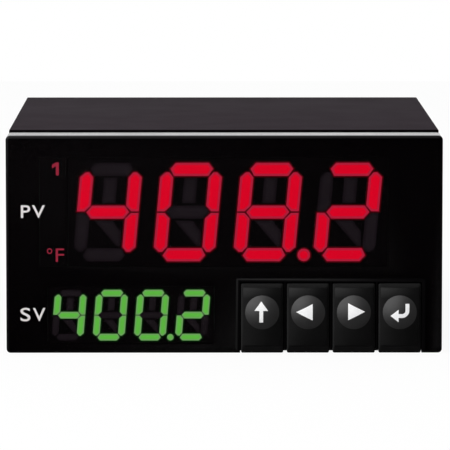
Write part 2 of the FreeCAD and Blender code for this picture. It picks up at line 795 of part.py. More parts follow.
def mounting_sleeve():
    """Sleeve that slides over the case and clamps the panel; it narrows to the rear."""
    outer = stacked([sleeve_ring(SLEEVE_FRONT, SLEEVE_Y[0]), sleeve_ring(SLEEVE_REAR, SLEEVE_Y[1])])
    inner = block(around(0, CASE_W + 2 * SLEEVE_PLAY), grown(SLEEVE_Y, BEYOND),
                  around(0, CASE_H + 2 * SLEEVE_PLAY))
    sleeve = outer.cut(inner)
    for side in (-1, 1):
        sleeve = sleeve.cut([tongue_slot(side)] + tongue_grips(side))
        sleeve = sleeve.fuse(tongue_hook(side))
    return sleeve


# Boards and components

def circuit_board(bottom):
    """One of the two boards that slide in the case's rails."""
    return block(around(0, BOARD_W), BOARD_Y, (bottom, bottom + BOARD_T))


def link_connectors():
    """Right-angle connectors between the display board and the other two."""
    front = DISPLAY_BOARD_Y + BOARD_T
    rear = front + LINK_LENGTH
    edge = BOARD_Y[0] + OVERLAP
    links = []
    for board, middle in LINK_X:
        base = board + BOARD_T
        top = base + LINK_H
        outline = [(front, base + LINK_NOSE), (edge, base + LINK_NOSE), (edge, base),
                   (rear, base), (rear, top - LINK_BEVEL), (rear - LINK_BEVEL, top), (front, top)]
        links.append(side_prism(outline, around(middle, LINK_W)))
    return group(links)


def power_transformer():
    """Transformer: laminated core clamped round a wound bobbin."""
    base = MAIN_BOARD_Z + BOARD_T
    x, y = TRANSFORMER_PLACE
    bobbin = block(around(x, BOBBIN_SIZE[0]), around(y, BOBBIN_SIZE[1]),
                   (base, base + BOBBIN_SIZE[2]))
    bobbin = bobbin.makeChamfer(BOBBIN_BEVEL, edges_along(bobbin, ALONG_X))
    core = block(around(x, CORE_SIZE[0]), around(y, CORE_SIZE[1]),
                 (base + CORE_Z[0], base + CORE_Z[1]))
    return bobbin.fuse(core)


def bulk_capacitor():
    """Upright can of the supply's main capacitor."""
    base = MAIN_BOARD_Z + BOARD_T
    x, y = CAPACITOR_PLACE
    return top_prism(circle(x, y, CAPACITOR_D, LARGE_SIDES), (base, base + CAPACITOR_H))


def moulded_box(place, size, base, bevel, direction):
    """Box on a board, with its two upper edges along one direction bevelled."""
    box = block(around(place[0], size[0]), around(place[1], size[1]), (base, base + size[2]))
    upper = [edge for edge in edges_along(box, direction) if edge.BoundBox.ZMin > base]
    return box.makeChamfer(bevel, upper)


def mains_fuse():
    """Moulded fuse beside the power terminals."""
    base = MAIN_BOARD_Z + BOARD_T
    return moulded_box(FUSE_PLACE, FUSE_SIZE, base, FUSE_BEVEL, ALONG_X)


def output_relays():
    """Relays in a row on the upper board."""
    base = OUTPUT_BOARD_Z + BOARD_T
    relays = []
    for number in range(RELAY_COUNT):
        place = (RELAY_PLACE[0] + RELAY_PITCH * number, RELAY_PLACE[1])
        relays.append(moulded_box(place, RELAY_SIZE, base, RELAY_BEVEL, ALONG_Y))
    return group(relays)


def processor_chip():
    """Square chip with its four rows of leads."""
    base = MAIN_BOARD_Z + BOARD_T
    x, y = CHIP_PLACE
    level = (base, base + LEAD_H)
    body = block(around(x, CHIP_W), around(y, CHIP_W), (base + CHIP_Z[0], base + CHIP_Z[1]))
    leads = [block(around(x, LEAD_SPREAD), around(y, LEAD_ROW_W), level),
             block(around(x, LEAD_ROW_W), around(y, LEAD_SPREAD), level)]
    return body.fuse(leads)


def isolation_chips():
    """Row of optocouplers that part the inputs from the outputs."""
    half = [(0.0, 0.3), (3.3, 0.3), (3.3, 0.0), (4.6, 0.0), (4.6, 0.3), (3.3, 1.6), (3.0, 3.4)]
    base = MAIN_BOARD_Z + BOARD_T
    chips = []
    for number in range(ISOLATOR_COUNT):
        middle = ISOLATOR_PLACE[0] + ISOLATOR_PITCH * number
        right = [(middle + u, base + v) for u, v in half]
        left = [(middle - u, base + v) for u, v in reversed(half[1:])]
        chips.append(front_prism(right + left, around(ISOLATOR_PLACE[1], ISOLATOR_DEPTH)))
    return group(chips)


# Terminals and USB port

def shroud_span(first, poles):
    """Low and high X of a header shroud."""
    return grown((first, first + TERMINAL_PITCH * (poles - 1)), SHROUD_MARGIN)


def pole_centres(first, poles):
    """X of each pole of a terminal."""
    return [first + TERMINAL_PITCH * number for number in range(poles)]


def header_shroud(first, poles, base):
    """Open box soldered on a board, which the plug slides into."""
    x = shroud_span(first, poles)
    z = (base, base + SHROUD_H)
    outer = block(x, SHROUD_Y, z)
    inner = block(grown(x, -SHROUD_WALL), (SHROUD_Y[0] + SHROUD_BACK, SHROUD_Y[1] + BEYOND),
                  grown(z, -SHROUD_WALL))
    shroud = outer.cut(inner)
    level = base + SHROUD_H / 2
    return shroud.cut([pin_leg(centre, level, base)[0] for centre in pole_centres(first, poles)])


def pin_leg(centre, level, base):
    """Blade of a header pin, and its leg down to the board."""
    x = around(centre, PIN_SIZE)
    z = around(level, PIN_SIZE)
    start = SHROUD_Y[0] - PIN_TAIL
    blade = block(x, (start, SHROUD_Y[1] - PIN_RECESS), z)
    leg = block(x, (start, start + PIN_SIZE), (base, z[1]))
    return blade, leg


def header_pins(first, poles, base):
    """Bent pins of a header."""
    level = base + SHROUD_H / 2
    pins = []
    for centre in pole_centres(first, poles):
        blade, leg = pin_leg(centre, level, base)
        pins.append(blade.fuse(leg).removeSplitter())
    return group(pins)


def plug_housing(first, poles, base):
    """Plug with a socket, a wire entry and a screw well for each pole."""
    x = shroud_span(first, poles)
    margin = SHROUD_WALL + PLUG_PLAY
    insert = block(grown(x, -margin), (PLUG_NOSE, PLUG_STEP + OVERLAP),
                   grown((base, base + SHROUD_H), -margin))
    ledge = PLUG_REAR - PLUG_LEDGE
    low = base + PLUG_Z[0]
    top = base + PLUG_Z[1]
    seat = base + PLUG_LEDGE_Z
    outline = [(PLUG_STEP, low), (PLUG_REAR, low), (PLUG_REAR, seat - LEDGE_BEVEL[1]),
               (PLUG_REAR - LEDGE_BEVEL[0], seat), (ledge + PLUG_EDGE, seat), (ledge, top),
               (PLUG_STEP, top)]
    housing = side_prism(outline, x).fuse(insert)
    level = base + SHROUD_H / 2
    entry = (base + ENTRY_Z[0], base + ENTRY_Z[1])
    cuts = []
    for centre in pole_centres(first, poles):
        cuts.append(block(around(centre, PIN_SIZE + PIN_PLAY), (PLUG_NOSE, SOCKET_END),
                          around(level, PIN_SIZE + PIN_PLAY)))
        cuts.append(block(around(centre, ENTRY_SIZE), (PLUG_REAR - ENTRY_DEPTH, PLUG_REAR), entry))
    return housing.cut(cuts)


def plug_clamps(first, poles, base):
    """Metal cages that close on the wires, one in each entry."""
    depth = (PLUG_REAR - ENTRY_DEPTH, PLUG_REAR - ENTRY_DEPTH + CLAMP_DEPTH)
    z = (base + ENTRY_Z[0], base + ENTRY_Z[0] + CLAMP_H)
    return group([block(around(centre, ENTRY_SIZE), depth, z)
                  for centre in pole_centres(first, poles)])


def plug_screws(first, poles, base):
    """Clamp screws in a row on the plug's ledge."""
    seat = base + PLUG_LEDGE_Z
    z = (seat, seat + CLAMP_SCREW_H)
    return group([top_prism(circle(centre, CLAMP_SCREW_Y, CLAMP_SCREW_D), z)
                  for centre in pole_centres(first, poles)])


def usb_shell():
    """Folded metal shell of the USB port."""
    base = OUTPUT_BOARD_Z + BOARD_T
    x = around(USB_X, USB_SIZE[0])
    z = (base, base + USB_SIZE[1])
    outer = bevelled_block(x, USB_Y, z, USB_CORNER)
    inner = bevelled_block(grown(x, -USB_WALL), (USB_Y[0] + USB_WALL, USB_Y[1] + BEYOND),
                           grown(z, -USB_WALL), USB_CORNER)
    return outer.cut(inner)


def usb_tongue():
    """Plastic tongue in the USB port."""
    middle = OUTPUT_BOARD_Z + BOARD_T + USB_SIZE[1] / 2
    return block(around(USB_X, USB_TONGUE[0]), (USB_Y[0] + USB_WALL, USB_Y[1] - USB_CORNER),
                 around(middle, USB_TONGUE[1]))


def front_nodes():
    """Named pieces of the front."""
    pv_lit, pv_unlit = display_segments(PV_DISPLAY)
    sv_lit, sv_unlit = display_segments(SV_DISPLAY)
    nodes = {
        "front_bezel": front_bezel(),
        "display_window": display_window(),
        "panel_gasket": panel_gasket(),
        "tact_switch_bodies": tact_switch_bodies(),
        "display_board": display_board(),
        "board_screws": board_screws(),
        "pv_display_body": display_body(PV_DISPLAY, pv_lit + pv_unlit),
        "pv_segments_lit": group(pv_lit),
        "pv_segments_unlit": group(pv_unlit),
        "sv_display_body": display_body(SV_DISPLAY, sv_lit + sv_unlit),
        "sv_segments_lit": group(sv_lit),
        "sv_segments_unlit": group(sv_unlit),
        "annunciator_bar": annunciator_bar(),
        "annunciator_windows": group(annunciator_windows()),
        "display_pins": display_pins(),
    }
    for index, name in enumerate(KEY_NAMES):
        nodes[name] = key(index)
        nodes["switch_plunger_" + name.split("_")[1]] = switch_plunger(index)
    return nodes


def body_nodes():
    """Named pieces of the case, the sleeve and what the case holds."""
    return {
        "case": case(),
        "rear_panel": rear_panel(),
        "mounting_sleeve": mounting_sleeve(),
        "main_board": circuit_board(MAIN_BOARD_Z),
        "output_board": circuit_board(OUTPUT_BOARD_Z),
        "link_connectors": link_connectors(),
        "power_transformer": power_transformer(),
        "bulk_capacitor": bulk_capacitor(),
        "mains_fuse": mains_fuse(),
        "output_relays": output_relays(),
        "processor_chip": processor_chip(),
        "isolation_chips": isolation_chips(),
        "usb_shell": usb_shell(),
        "usb_tongue": usb_tongue(),
    }


def terminal_nodes():
    """Named pieces of the three pluggable terminals."""
    nodes = {}
    for name, first, poles, board in TERMINALS:
        base = board + BOARD_T
        nodes[name + "_header"] = header_shroud(first, poles, base)
        nodes[name + "_header_pins"] = header_pins(first, poles, base)
        nodes[name + "_plug"] = plug_housing(first, poles, base)
        nodes[name + "_plug_clamps"] = plug_clamps(first, poles, base)
        nodes[name + "_plug_screws"] = plug_screws(first, poles, base)
    return nodes


def main():
    """Write one STEP file for each named piece."""
    os.makedirs("parts", exist_ok=True)
    for nodes in (front_nodes(), body_nodes(), terminal_nodes()):
        for name, shape in nodes.items():
            shape.exportStep("parts/" + name + ".step")


main()
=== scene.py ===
"""Looks of a panel-mount temperature controller: finishes, keys, lettering, light and camera."""
import json
import logging
import math
from contextlib import contextmanager
from dataclasses import dataclass
from enum import Enum
from typing import Callable, Iterator, Sequence

import bpy
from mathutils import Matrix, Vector


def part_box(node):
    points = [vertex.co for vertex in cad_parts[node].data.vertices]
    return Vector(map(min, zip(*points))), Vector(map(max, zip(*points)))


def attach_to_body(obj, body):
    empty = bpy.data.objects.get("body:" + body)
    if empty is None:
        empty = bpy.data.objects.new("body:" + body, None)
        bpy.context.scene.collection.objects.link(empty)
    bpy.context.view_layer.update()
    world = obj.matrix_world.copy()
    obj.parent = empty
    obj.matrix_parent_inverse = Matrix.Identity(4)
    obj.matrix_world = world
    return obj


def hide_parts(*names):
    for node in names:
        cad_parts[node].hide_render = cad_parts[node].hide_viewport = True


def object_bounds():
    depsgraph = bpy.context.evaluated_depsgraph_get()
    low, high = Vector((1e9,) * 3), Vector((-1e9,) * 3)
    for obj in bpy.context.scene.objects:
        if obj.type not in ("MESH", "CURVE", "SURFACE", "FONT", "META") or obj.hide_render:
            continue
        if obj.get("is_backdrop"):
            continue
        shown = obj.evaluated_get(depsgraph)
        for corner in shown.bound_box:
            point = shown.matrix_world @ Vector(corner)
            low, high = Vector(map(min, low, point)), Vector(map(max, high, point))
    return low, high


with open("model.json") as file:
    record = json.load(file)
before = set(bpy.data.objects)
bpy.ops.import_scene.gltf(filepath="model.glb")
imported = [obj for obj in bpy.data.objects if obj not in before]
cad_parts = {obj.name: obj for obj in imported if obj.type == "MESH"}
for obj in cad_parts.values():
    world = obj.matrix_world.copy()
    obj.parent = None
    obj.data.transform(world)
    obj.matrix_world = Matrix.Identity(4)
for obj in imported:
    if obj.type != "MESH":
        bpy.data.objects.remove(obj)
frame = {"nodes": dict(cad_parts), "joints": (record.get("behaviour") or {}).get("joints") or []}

MM = 0.001
MERGE = 0.001 * MM          # vertices nearer than this are one
SHARP = math.radians(30)    # edges sharper than this are rounded
SMOOTH = math.radians(40)   # edges flatter than this are shaded smooth
ALONG = 0.9                 # least cosine of a direction that counts as along an axis
ACROSS = 0.1                # largest cosine of one that counts as across it
FLAT = math.radians(1)      # faces that meet flatter than this are one
LEFT, RIGHT = (-1, 0, 0), (1, 0, 0)
FRONT, REAR = (0, -1, 0), (0, 1, 0)
DOWN, UP = (0, 0, -1), (0, 0, 1)
Piece = bpy.types.Object
Colour = tuple[float, float, float]
Point = tuple[float, float, float]
Span = tuple[float, float]
Rectangle = tuple[Span, Span]
Glyph = tuple[str, Span, Span]   # a letter, its X and its Z
Test = Callable[[Vector, Vector], bool]
log = logging.getLogger("controller")


# Shader graphs

class Value:
    """A number that varies over a surface: one output socket with Python's operators."""

    def __init__(self, graph: "Graph", socket: bpy.types.NodeSocket) -> None:
        """Keep the socket and the graph that it belongs to."""
        self.graph = graph
        self.socket = socket

    def _math(self, operation: str, first: object, second: object) -> "Value":
        """One Math node.

        Args:
            operation: Name of the Math node's operation.
            first: First operand, a Value or a number.
            second: Second operand, a Value or a number.

        Returns:
            The node's result.
        """
        return self.graph.value("ShaderNodeMath", {"operation": operation}, {0: first, 1: second})

    def __add__(self, other: object) -> "Value":
        """Sum."""
        return self._math("ADD", self, other)

    def __radd__(self, other: object) -> "Value":
        """Sum, reflected."""
        return self._math("ADD", other, self)

    def __sub__(self, other: object) -> "Value":
        """Difference."""
        return self._math("SUBTRACT", self, other)

    def __rsub__(self, other: object) -> "Value":
        """Difference, reflected."""
        return self._math("SUBTRACT", other, self)

    def __mul__(self, other: object) -> "Value":
        """Product."""
        return self._math("MULTIPLY", self, other)

    def __rmul__(self, other: object) -> "Value":
        """Product, reflected."""
        return self._math("MULTIPLY", other, self)

    def ramp(self, low: float, high: float) -> "Value":
        """Smooth step from 0 at low to 1 at high.

        Args:
            low: Where the step starts.
            high: Where the step ends.

        Returns:
            The stepped value.
        """
        settings = {"interpolation_type": "SMOOTHSTEP"}
        return self.graph.value("ShaderNodeMapRange", settings,
                                {"Value": self, "From Min": low, "From Max": high})


class Graph:
    """Nodes of one material or of the world."""

    def __init__(self, tree: bpy.types.NodeTree) -> None:
        """Start with an empty tree."""
        self.tree = tree
        tree.nodes.clear()

    def node(self, kind: str, settings: dict | None = None,
             inputs: dict | None = None) -> bpy.types.Node:
        """Add a node.

        Args:
            kind: The node's type.
            settings: Properties that are set before the sockets.
            inputs: Constants, sockets or Values, by the socket's name or number.

        Returns:
            The new node.
        """
        made = self.tree.nodes.new(kind)
        for name, setting in (settings or {}).items():
            setattr(made, name, setting)
        for name, given in (inputs or {}).items():
            source = given.socket if isinstance(given, Value) else given
            if isinstance(source, bpy.types.NodeSocket):
                self.tree.links.new(source, made.inputs[name])
            else:
                made.inputs[name].default_value = source
        return made

    def value(self, kind: str, settings: dict | None = None, inputs: dict | None = None,
              output: int | str = 0) -> Value:
        """Add a node and take one of its outputs as a Value.

        Args:
            kind: The node's type.
            settings: Properties that are set before the sockets.
            inputs: Constants, sockets or Values, by the socket's name or number.
            output: Name or number of the output.

        Returns:
            The output.
        """
        return Value(self, self.node(kind, settings, inputs).outputs[output])

    def noise(self, size: float, detail: float, stretch: Point) -> Value:
        """Noise on object coordinates.

        Args:
            size: Width of one blotch, in metres.
            detail: Number of finer layers.
            stretch: How many times finer the noise is along each axis.

        Returns:
            The noise, from 0 to 1.
        """
        spot = self.node("ShaderNodeTexCoord").outputs["Object"]
        mapped = self.node("ShaderNodeMapping", None, {"Vector": spot, "Scale": stretch})
        return self.value("ShaderNodeTexNoise", None,
                          {"Vector": mapped.outputs[0], "Scale": 1 / size, "Detail": detail})

    def mix(self, factor: Value, first: Colour, second: Colour) -> bpy.types.NodeSocket:
        """Blend of two colours.

        Args:
            factor: Share of the second colour.
            first: Colour at 0.
            second: Colour at 1.

        Returns:
            The blended colour's socket.
        """
        # The node has sockets for each type of data: 6, 7 and output 2 are those of colours.
        made = self.node("ShaderNodeMix", {"data_type": "RGBA"},
                         {0: factor, 6: (*first, 1.0), 7: (*second, 1.0)})
        return made.outputs[2]


def new_material(name: str) -> tuple[bpy.types.Material, Graph]:
    """Material with an empty graph.

    Args:
        name: The material's name.

    Returns:
        The material and its graph.
    """
    material = bpy.data.materials.new(name)
    material.use_nodes = True
    return material, Graph(material.node_tree)


@dataclass(frozen=True)
class Finish:
    """Surface of one material: its colours, sheen and grain.

    A finish that glows lies behind the smoked window, and glow_strength makes up for the light
    that the window takes away.
    """

    name: str
    colour: Colour
    second: Colour | None = None
    blotch: float = 6 * MM
    blotch_detail: float = 3.0
    blotch_span: Span = (0.3, 0.7)
    roughness: float = 0.5
    roughness_spread: float = 0.0
    smear_scale: float = 1.7
    smear_detail: float = 4.0
    smear_span: Span = (0.25, 0.75)
    grain_size: float = 0.0
    grain_depth: float = 0.0
    grain_detail: float = 3.0
    stretch: Point = (1, 1, 1)
    metallic: float = 0.0
    specular: float = 0.5
    alpha: float = 1.0
    glow: Colour | None = None
    glow_strength: float = 2.35

    def material(self) -> bpy.types.Material:
        """Build the material, or find it if it has been built."""
        return bpy.data.materials.get(self.name) or self._build()

    def _build(self) -> bpy.types.Material:
        """Build the shader graph.

        Returns:
            The new material.
        """
        material, graph = new_material(self.name)
        inputs = {"Metallic": self.metallic, "Specular IOR Level": self.specular,
                  "Alpha": self.alpha, "Base Color": (*self.colour, 1.0),
                  "Roughness": self.roughness}
        if self.second:
            mottle = graph.noise(self.blotch, self.blotch_detail, self.stretch)
            inputs["Base Color"] = graph.mix(mottle.ramp(*self.blotch_span), self.colour,
                                             self.second)
        if self.roughness_spread:
            noise = graph.noise(self.blotch * self.smear_scale, self.smear_detail, self.stretch)
            smear = noise.ramp(*self.smear_span) - 0.5
            inputs["Roughness"] = self.roughness + smear * self.roughness_spread
        if self.grain_depth:
            grain = graph.noise(self.grain_size, self.grain_detail, self.stretch)
            bump = graph.node("ShaderNodeBump", None,
                              {"Height": grain, "Distance": self.grain_depth})
            inputs["Normal"] = bump.outputs[0]
        if self.glow:
            inputs["Emission Color"] = (*self.glow, 1.0)
            inputs["Emission Strength"] = self.glow_strength
        shader = graph.node("ShaderNodeBsdfPrincipled", None, inputs)
        graph.node("ShaderNodeOutputMaterial", None, {"Surface": shader.outputs[0]})
        return material

    def dress(self, piece: Piece) -> Piece:
        """Give a piece this finish all over.

        Args:
            piece: The piece.

        Returns:
            The same piece.
        """
        piece.data.materials.clear()
        piece.data.materials.append(self.material())
        return piece


class Finishes:
    """All finishes of the controller."""

    BEZEL = Finish("bezel_gloss_black", (0.0014, 0.0012, 0.0014), (0.0020, 0.0017, 0.0020),
                   roughness=0.12, roughness_spread=0.05, grain_size=0.5 * MM,
                   grain_depth=0.001 * MM, specular=0.2)
    WINDOW = Finish("window_smoked_clear", (0.0022, 0.0014, 0.0018), roughness=0.06,
                    specular=0.04, alpha=0.35)
    KEY = Finish("key_satin_black", (0.0014, 0.0013, 0.0014), (0.0022, 0.0020, 0.0022),
                 blotch=3 * MM, roughness=0.36, roughness_spread=0.06, grain_size=0.12 * MM,
                 grain_depth=0.003 * MM, specular=0.42)
    DOME = Finish("dome_soft_grey", (0.0165, 0.0160, 0.0165), (0.0200, 0.0194, 0.0200),
                  blotch=2 * MM, roughness=0.50, roughness_spread=0.06, grain_size=0.1 * MM,
                  grain_depth=0.002 * MM, specular=0.95)
    SLEEVE = Finish("sleeve_fine_texture", (0.0372, 0.0304, 0.0355), (0.0418, 0.0345, 0.0402),
                    blotch=9 * MM, roughness=0.8, roughness_spread=0.1,
                    grain_size=0.28 * MM, grain_depth=0.03 * MM, specular=0.004)
    # Painted shade: the sleeve's front rim is the same moulding as the rest, dressed near-black to
    # stand for the shadow in the gap behind the bezel.
    SLEEVE_RIM_PAINTED_SHADE = Finish("sleeve_rim_painted_shade", (0.0035, 0.0030, 0.0034), roughness=0.9,
                        specular=0.0)
    CASE = Finish("case_fine_texture", (0.018, 0.016, 0.018), (0.023, 0.021, 0.023),
                  blotch=8 * MM, roughness=0.65, roughness_spread=0.1, grain_size=0.28 * MM,
                  grain_depth=0.025 * MM, specular=0.2)
    GASKET = Finish("gasket_foam_rubber", (0.010, 0.010, 0.011), (0.018, 0.018, 0.018),
                    blotch=0.7 * MM, roughness=0.9, grain_size=0.25 * MM,
                    grain_depth=0.05 * MM, specular=0.2)
    DISPLAY_FACE = Finish("display_face_dark", (0.0022, 0.0018, 0.0021), (0.003, 0.0026, 0.0029),
                          roughness=0.85, roughness_spread=0.06, specular=0.1)
    RED_LIGHT = Finish("segment_lit_red", (0.08, 0.002, 0.01), specular=0.1,
                       glow=(0.65, 0.0, 0.014))
    RED_RIM = Finish("segment_edge_red", (0.08, 0.004, 0.015), specular=0.1,
                     glow=(0.38, 0.010, 0.034))
    # Painted glow: makes a thin plate round the lit red segments glow, for the light that they
    # throw on the display's face.
    RED_PAINTED_GLOW = Finish("display_face_red_painted_glow", (0.01, 0.002, 0.003), roughness=0.85,
                      specular=0.1, glow=(0.056, 0.0002, 0.0018))
    GREEN_LIGHT = Finish("segment_lit_green", (0.03, 0.1, 0.03), specular=0.1,
                         glow=(0.098, 0.430, 0.046))
    GREEN_RIM = Finish("segment_edge_green", (0.03, 0.1, 0.03), specular=0.1,
                       glow=(0.140, 0.310, 0.102))
    # Painted glow: makes a thin plate round the lit green segments glow, for the light that they
    # throw on the display's face.
    GREEN_PAINTED_GLOW = Finish("display_face_green_painted_glow", (0.002, 0.01, 0.003), roughness=0.85,
                        specular=0.1, glow=(0.0003, 0.012, 0.0003))
    RED_SIGN = Finish("sign_lit_red", (0.08, 0.004, 0.01), specular=0.1,
                      glow=(0.26, 0.018, 0.038))
    UNLIT = Finish("segment_unlit", (0.046, 0.033, 0.042), (0.054, 0.039, 0.050),
                   blotch=2 * MM, roughness=0.6, roughness_spread=0.1, specular=0.15)
    UNLIT_RIM = Finish("segment_edge_unlit", (0.033, 0.021, 0.030), (0.039, 0.026, 0.036),
                       blotch=2 * MM, roughness=0.6, roughness_spread=0.1, specular=0.15)
    LABEL_INK = Finish("label_print_white", (0.70, 0.67, 0.66), (0.76, 0.73, 0.72),
                       blotch=0.6 * MM, roughness=0.55, roughness_spread=0.1)
    KEY_INK = Finish("key_print_white", (0.95, 0.955, 0.96), (0.98, 0.985, 0.99),
                     blotch=0.6 * MM, roughness_spread=0.1)
    BOARD = Finish("board_green_lacquer", (0.008, 0.075, 0.028), (0.012, 0.095, 0.036),
                   blotch=3 * MM, roughness=0.35, roughness_spread=0.15)
    STEEL = Finish("steel_zinc_plated", (0.55, 0.55, 0.54), (0.62, 0.62, 0.60), blotch=1.2 * MM,
                   roughness=0.32, roughness_spread=0.15, grain_size=0.2 * MM,
                   grain_depth=0.004 * MM, metallic=1.0)
    BRASS = Finish("brass_tinned", (0.60, 0.58, 0.50), (0.66, 0.62, 0.50), blotch=1 * MM,
                   roughness=0.3, roughness_spread=0.1, metallic=1.0)
    TERMINAL = Finish("terminal_green", (0.012, 0.16, 0.040), (0.017, 0.19, 0.050),
                      blotch=4 * MM, roughness=0.45, roughness_spread=0.12,
                      grain_size=0.2 * MM, grain_depth=0.008 * MM)
    COMPONENT = Finish("component_black", (0.012, 0.012, 0.012), (0.02, 0.02, 0.02),
                       blotch=2 * MM, roughness_spread=0.15)
    CORE = Finish("core_laminations", (0.10, 0.095, 0.09), (0.16, 0.15, 0.14),
                  blotch=1.5 * MM, stretch=(6, 1, 1), metallic=0.6)


# Modelling helpers

def pick_only(piece: Piece) -> None:
    """Make a piece the only selected one, and active.

    Args:
        piece: The piece.
    """
    bpy.ops.object.select_all(action="DESELECT")
    piece.select_set(True)
    bpy.context.view_layer.objects.active = piece


@contextmanager
def editing(piece: Piece, mode: str, test: Test) -> Iterator[None]:
    """Edit mode on a piece, with the faces or edges selected that pass a test.

    Args:
        piece: The piece to edit.
        mode: FACE or EDGE.
        test: Takes a face's centre and normal, or an edge's centre and direction.

    Returns:
        A context that lasts as long as edit mode does.
    """
    pick_only(piece)
    mesh = piece.data
    for group in (mesh.vertices, mesh.edges, mesh.polygons):
        group.foreach_set("select", [False] * len(group))
    if mode == "FACE":
        for face in mesh.polygons:
            face.select = test(face.center, face.normal)
    else:
        for edge in mesh.edges:
            start, end = (mesh.vertices[index].co for index in edge.vertices)
            edge.select = test((start + end) / 2, (end - start).normalized())
    bpy.ops.object.mode_set(mode="EDIT")
    bpy.ops.mesh.select_mode(type=mode)
    yield
    bpy.ops.object.mode_set(mode="OBJECT")


def everything(spot: Vector, way: Vector) -> bool:
    """Test that passes every face and edge."""
    return True


def facing(way: Point) -> Test:
    """Test that passes the faces that look along a direction."""
    return lambda spot, normal: normal.dot(Vector(way)) > ALONG


def extrude(shift: Point) -> None:
    """Extrude the selected faces, in edit mode."""
    bpy.ops.mesh.extrude_region_move(TRANSFORM_OT_translate={"value": shift})


def split_at(piece: Piece, level: float) -> None:
    """Split the faces of a piece where they cross a height."""
    with editing(piece, "FACE", everything):
        bpy.ops.mesh.bisect(plane_co=(0, 0, level), plane_no=UP, threshold=MERGE)


def settle(piece: Piece) -> Piece:
    """Bring a piece's place, turn and scale into its mesh.

    Args:
        piece: The piece.

    Returns:
        The same piece.
    """
    pick_only(piece)
    bpy.ops.object.transform_apply(location=True, rotation=True, scale=True)
    return piece


def smooth(piece: Piece) -> None:
    """Shade a piece smooth between its sharp edges."""
    pick_only(piece)
    bpy.ops.object.shade_smooth_by_angle(angle=SMOOTH)


def new_piece(name: str) -> Piece:
    """Name the primitive that an operator has just added, and settle it."""
    bpy.context.object.name = name
    return settle(bpy.context.object)


def add_box(name: str, low: Sequence[float], high: Sequence[float]) -> Piece:
    """Box between two corners.

    Args:
        name: The piece's name.
        low: Lowest corner, in metres.
        high: Highest corner, in metres.

    Returns:
        The new piece.
    """
    bpy.ops.object.select_all(action="DESELECT")
    centre = [(a + b) / 2 for a, b in zip(low, high)]
    bpy.ops.mesh.primitive_cube_add(size=1, location=centre,
                                    scale=[b - a for a, b in zip(low, high)])
    return new_piece(name)


def add_rod(name: str, start: Point, length: float, radius: float, axis: str,
            sides: int) -> Piece:
    """Round rod from a point along X, Y or Z.

    Args:
        name: The piece's name.
        start: Centre of the rod's first end.
        length: Length along the axis.
        radius: Radius.
        axis: X, Y or Z.
        sides: Number of sides.

    Returns:
        The new piece.
    """
    bpy.ops.object.select_all(action="DESELECT")
    turns = {"X": (0, math.pi / 2, 0), "Y": (-math.pi / 2, 0, 0), "Z": (0, 0, 0)}
    centre = Vector(start)
    centre["XYZ".index(axis)] += length / 2
    bpy.ops.mesh.primitive_cylinder_add(vertices=sides, radius=radius, depth=length,
                                        location=centre, rotation=turns[axis])
    return new_piece(name)


def modify(piece: Piece, kind: str, **settings: object) -> None:
    """Add a modifier and apply it.

    Args:
        piece: The piece.
        kind: The modifier's type.
        settings: The modifier's properties.
    """
    pick_only(piece)
    modifier = piece.modifiers.new(kind.title(), kind)
    for name, setting in settings.items():
        setattr(modifier, name, setting)
    bpy.ops.object.modifier_apply(modifier=modifier.name)


def carve(piece: Piece, tool: Piece, operation: str = "DIFFERENCE") -> None:
    """Boolean with a tool piece, which is then thrown away.

    Args:
        piece: The piece that stays.
        tool: The piece that is used up.
        operation: DIFFERENCE, INTERSECT or UNION.
    """
    modify(piece, "BOOLEAN", operation=operation, object=tool, solver="EXACT")
    bpy.data.objects.remove(tool)


def merge(pieces: Sequence[Piece], name: str) -> Piece:
    """Join several pieces into one object.

    Args:
        pieces: The pieces.
        name: Name of the joined piece.

    Returns:
        The joined piece.
    """
    bpy.ops.object.select_all(action="DESELECT")
    for piece in pieces:
        piece.select_set(True)
    bpy.context.view_layer.objects.active = pieces[0]
    if len(pieces) > 1:
        bpy.ops.object.join()
    pieces[0].name = name
    return pieces[0]


def soften(piece: Piece, width: float, steps: int = 2) -> Piece:
    """Round a piece's sharp edges and shade it smooth.

    Args:
        piece: The piece.
        width: Width of the rounding, in metres.
        steps: Number of faces across the rounding.

    Returns:
        The same piece.
    """
    modify(piece, "BEVEL", width=width, segments=steps, limit_method="ANGLE", angle_limit=SHARP)
    smooth(piece)
    return piece


def moved_copy(piece: Piece, name: str, shift: Point = (0, 0, 0)) -> Piece:
    """Copy of a piece with a mesh of its own, moved.

    Args:
        piece: The piece.
        name: The copy's name.
        shift: How far the copy is moved.

    Returns:
        The copy.
    """
    copy = bpy.data.objects.new(name, piece.data.copy())
    bpy.context.scene.collection.objects.link(copy)
    copy.location = shift
    return settle(copy)


def rounded_copy(node: str, width: float = 0.0) -> Piece:
    """Copy of a frame node with its sharp edges rounded, to stand for the node.

    Args:
        node: Name of the node.
        width: Width of the rounding, in metres; none if it is 0.

    Returns:
        The new piece.
    """
    copy = moved_copy(frame["nodes"][node], node + "_rounded")
    with editing(copy, "FACE", everything):
        bpy.ops.mesh.remove_doubles(threshold=MERGE)
        bpy.ops.mesh.dissolve_limited(angle_limit=FLAT)
    return soften(copy, width) if width else copy


def attach(piece: Piece, body: str, nodes: Sequence[str] = ()) -> None:
    """Let a finished piece ride on a body.

    Args:
        piece: The piece.
        body: The body that it moves with.
        nodes: Frame nodes that it replaces.
    """
    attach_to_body(piece, body)
    if nodes:
        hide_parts(*nodes)
    log.info("%s rides on %s, %d faces", piece.name, body, len(piece.data.polygons))


# Front

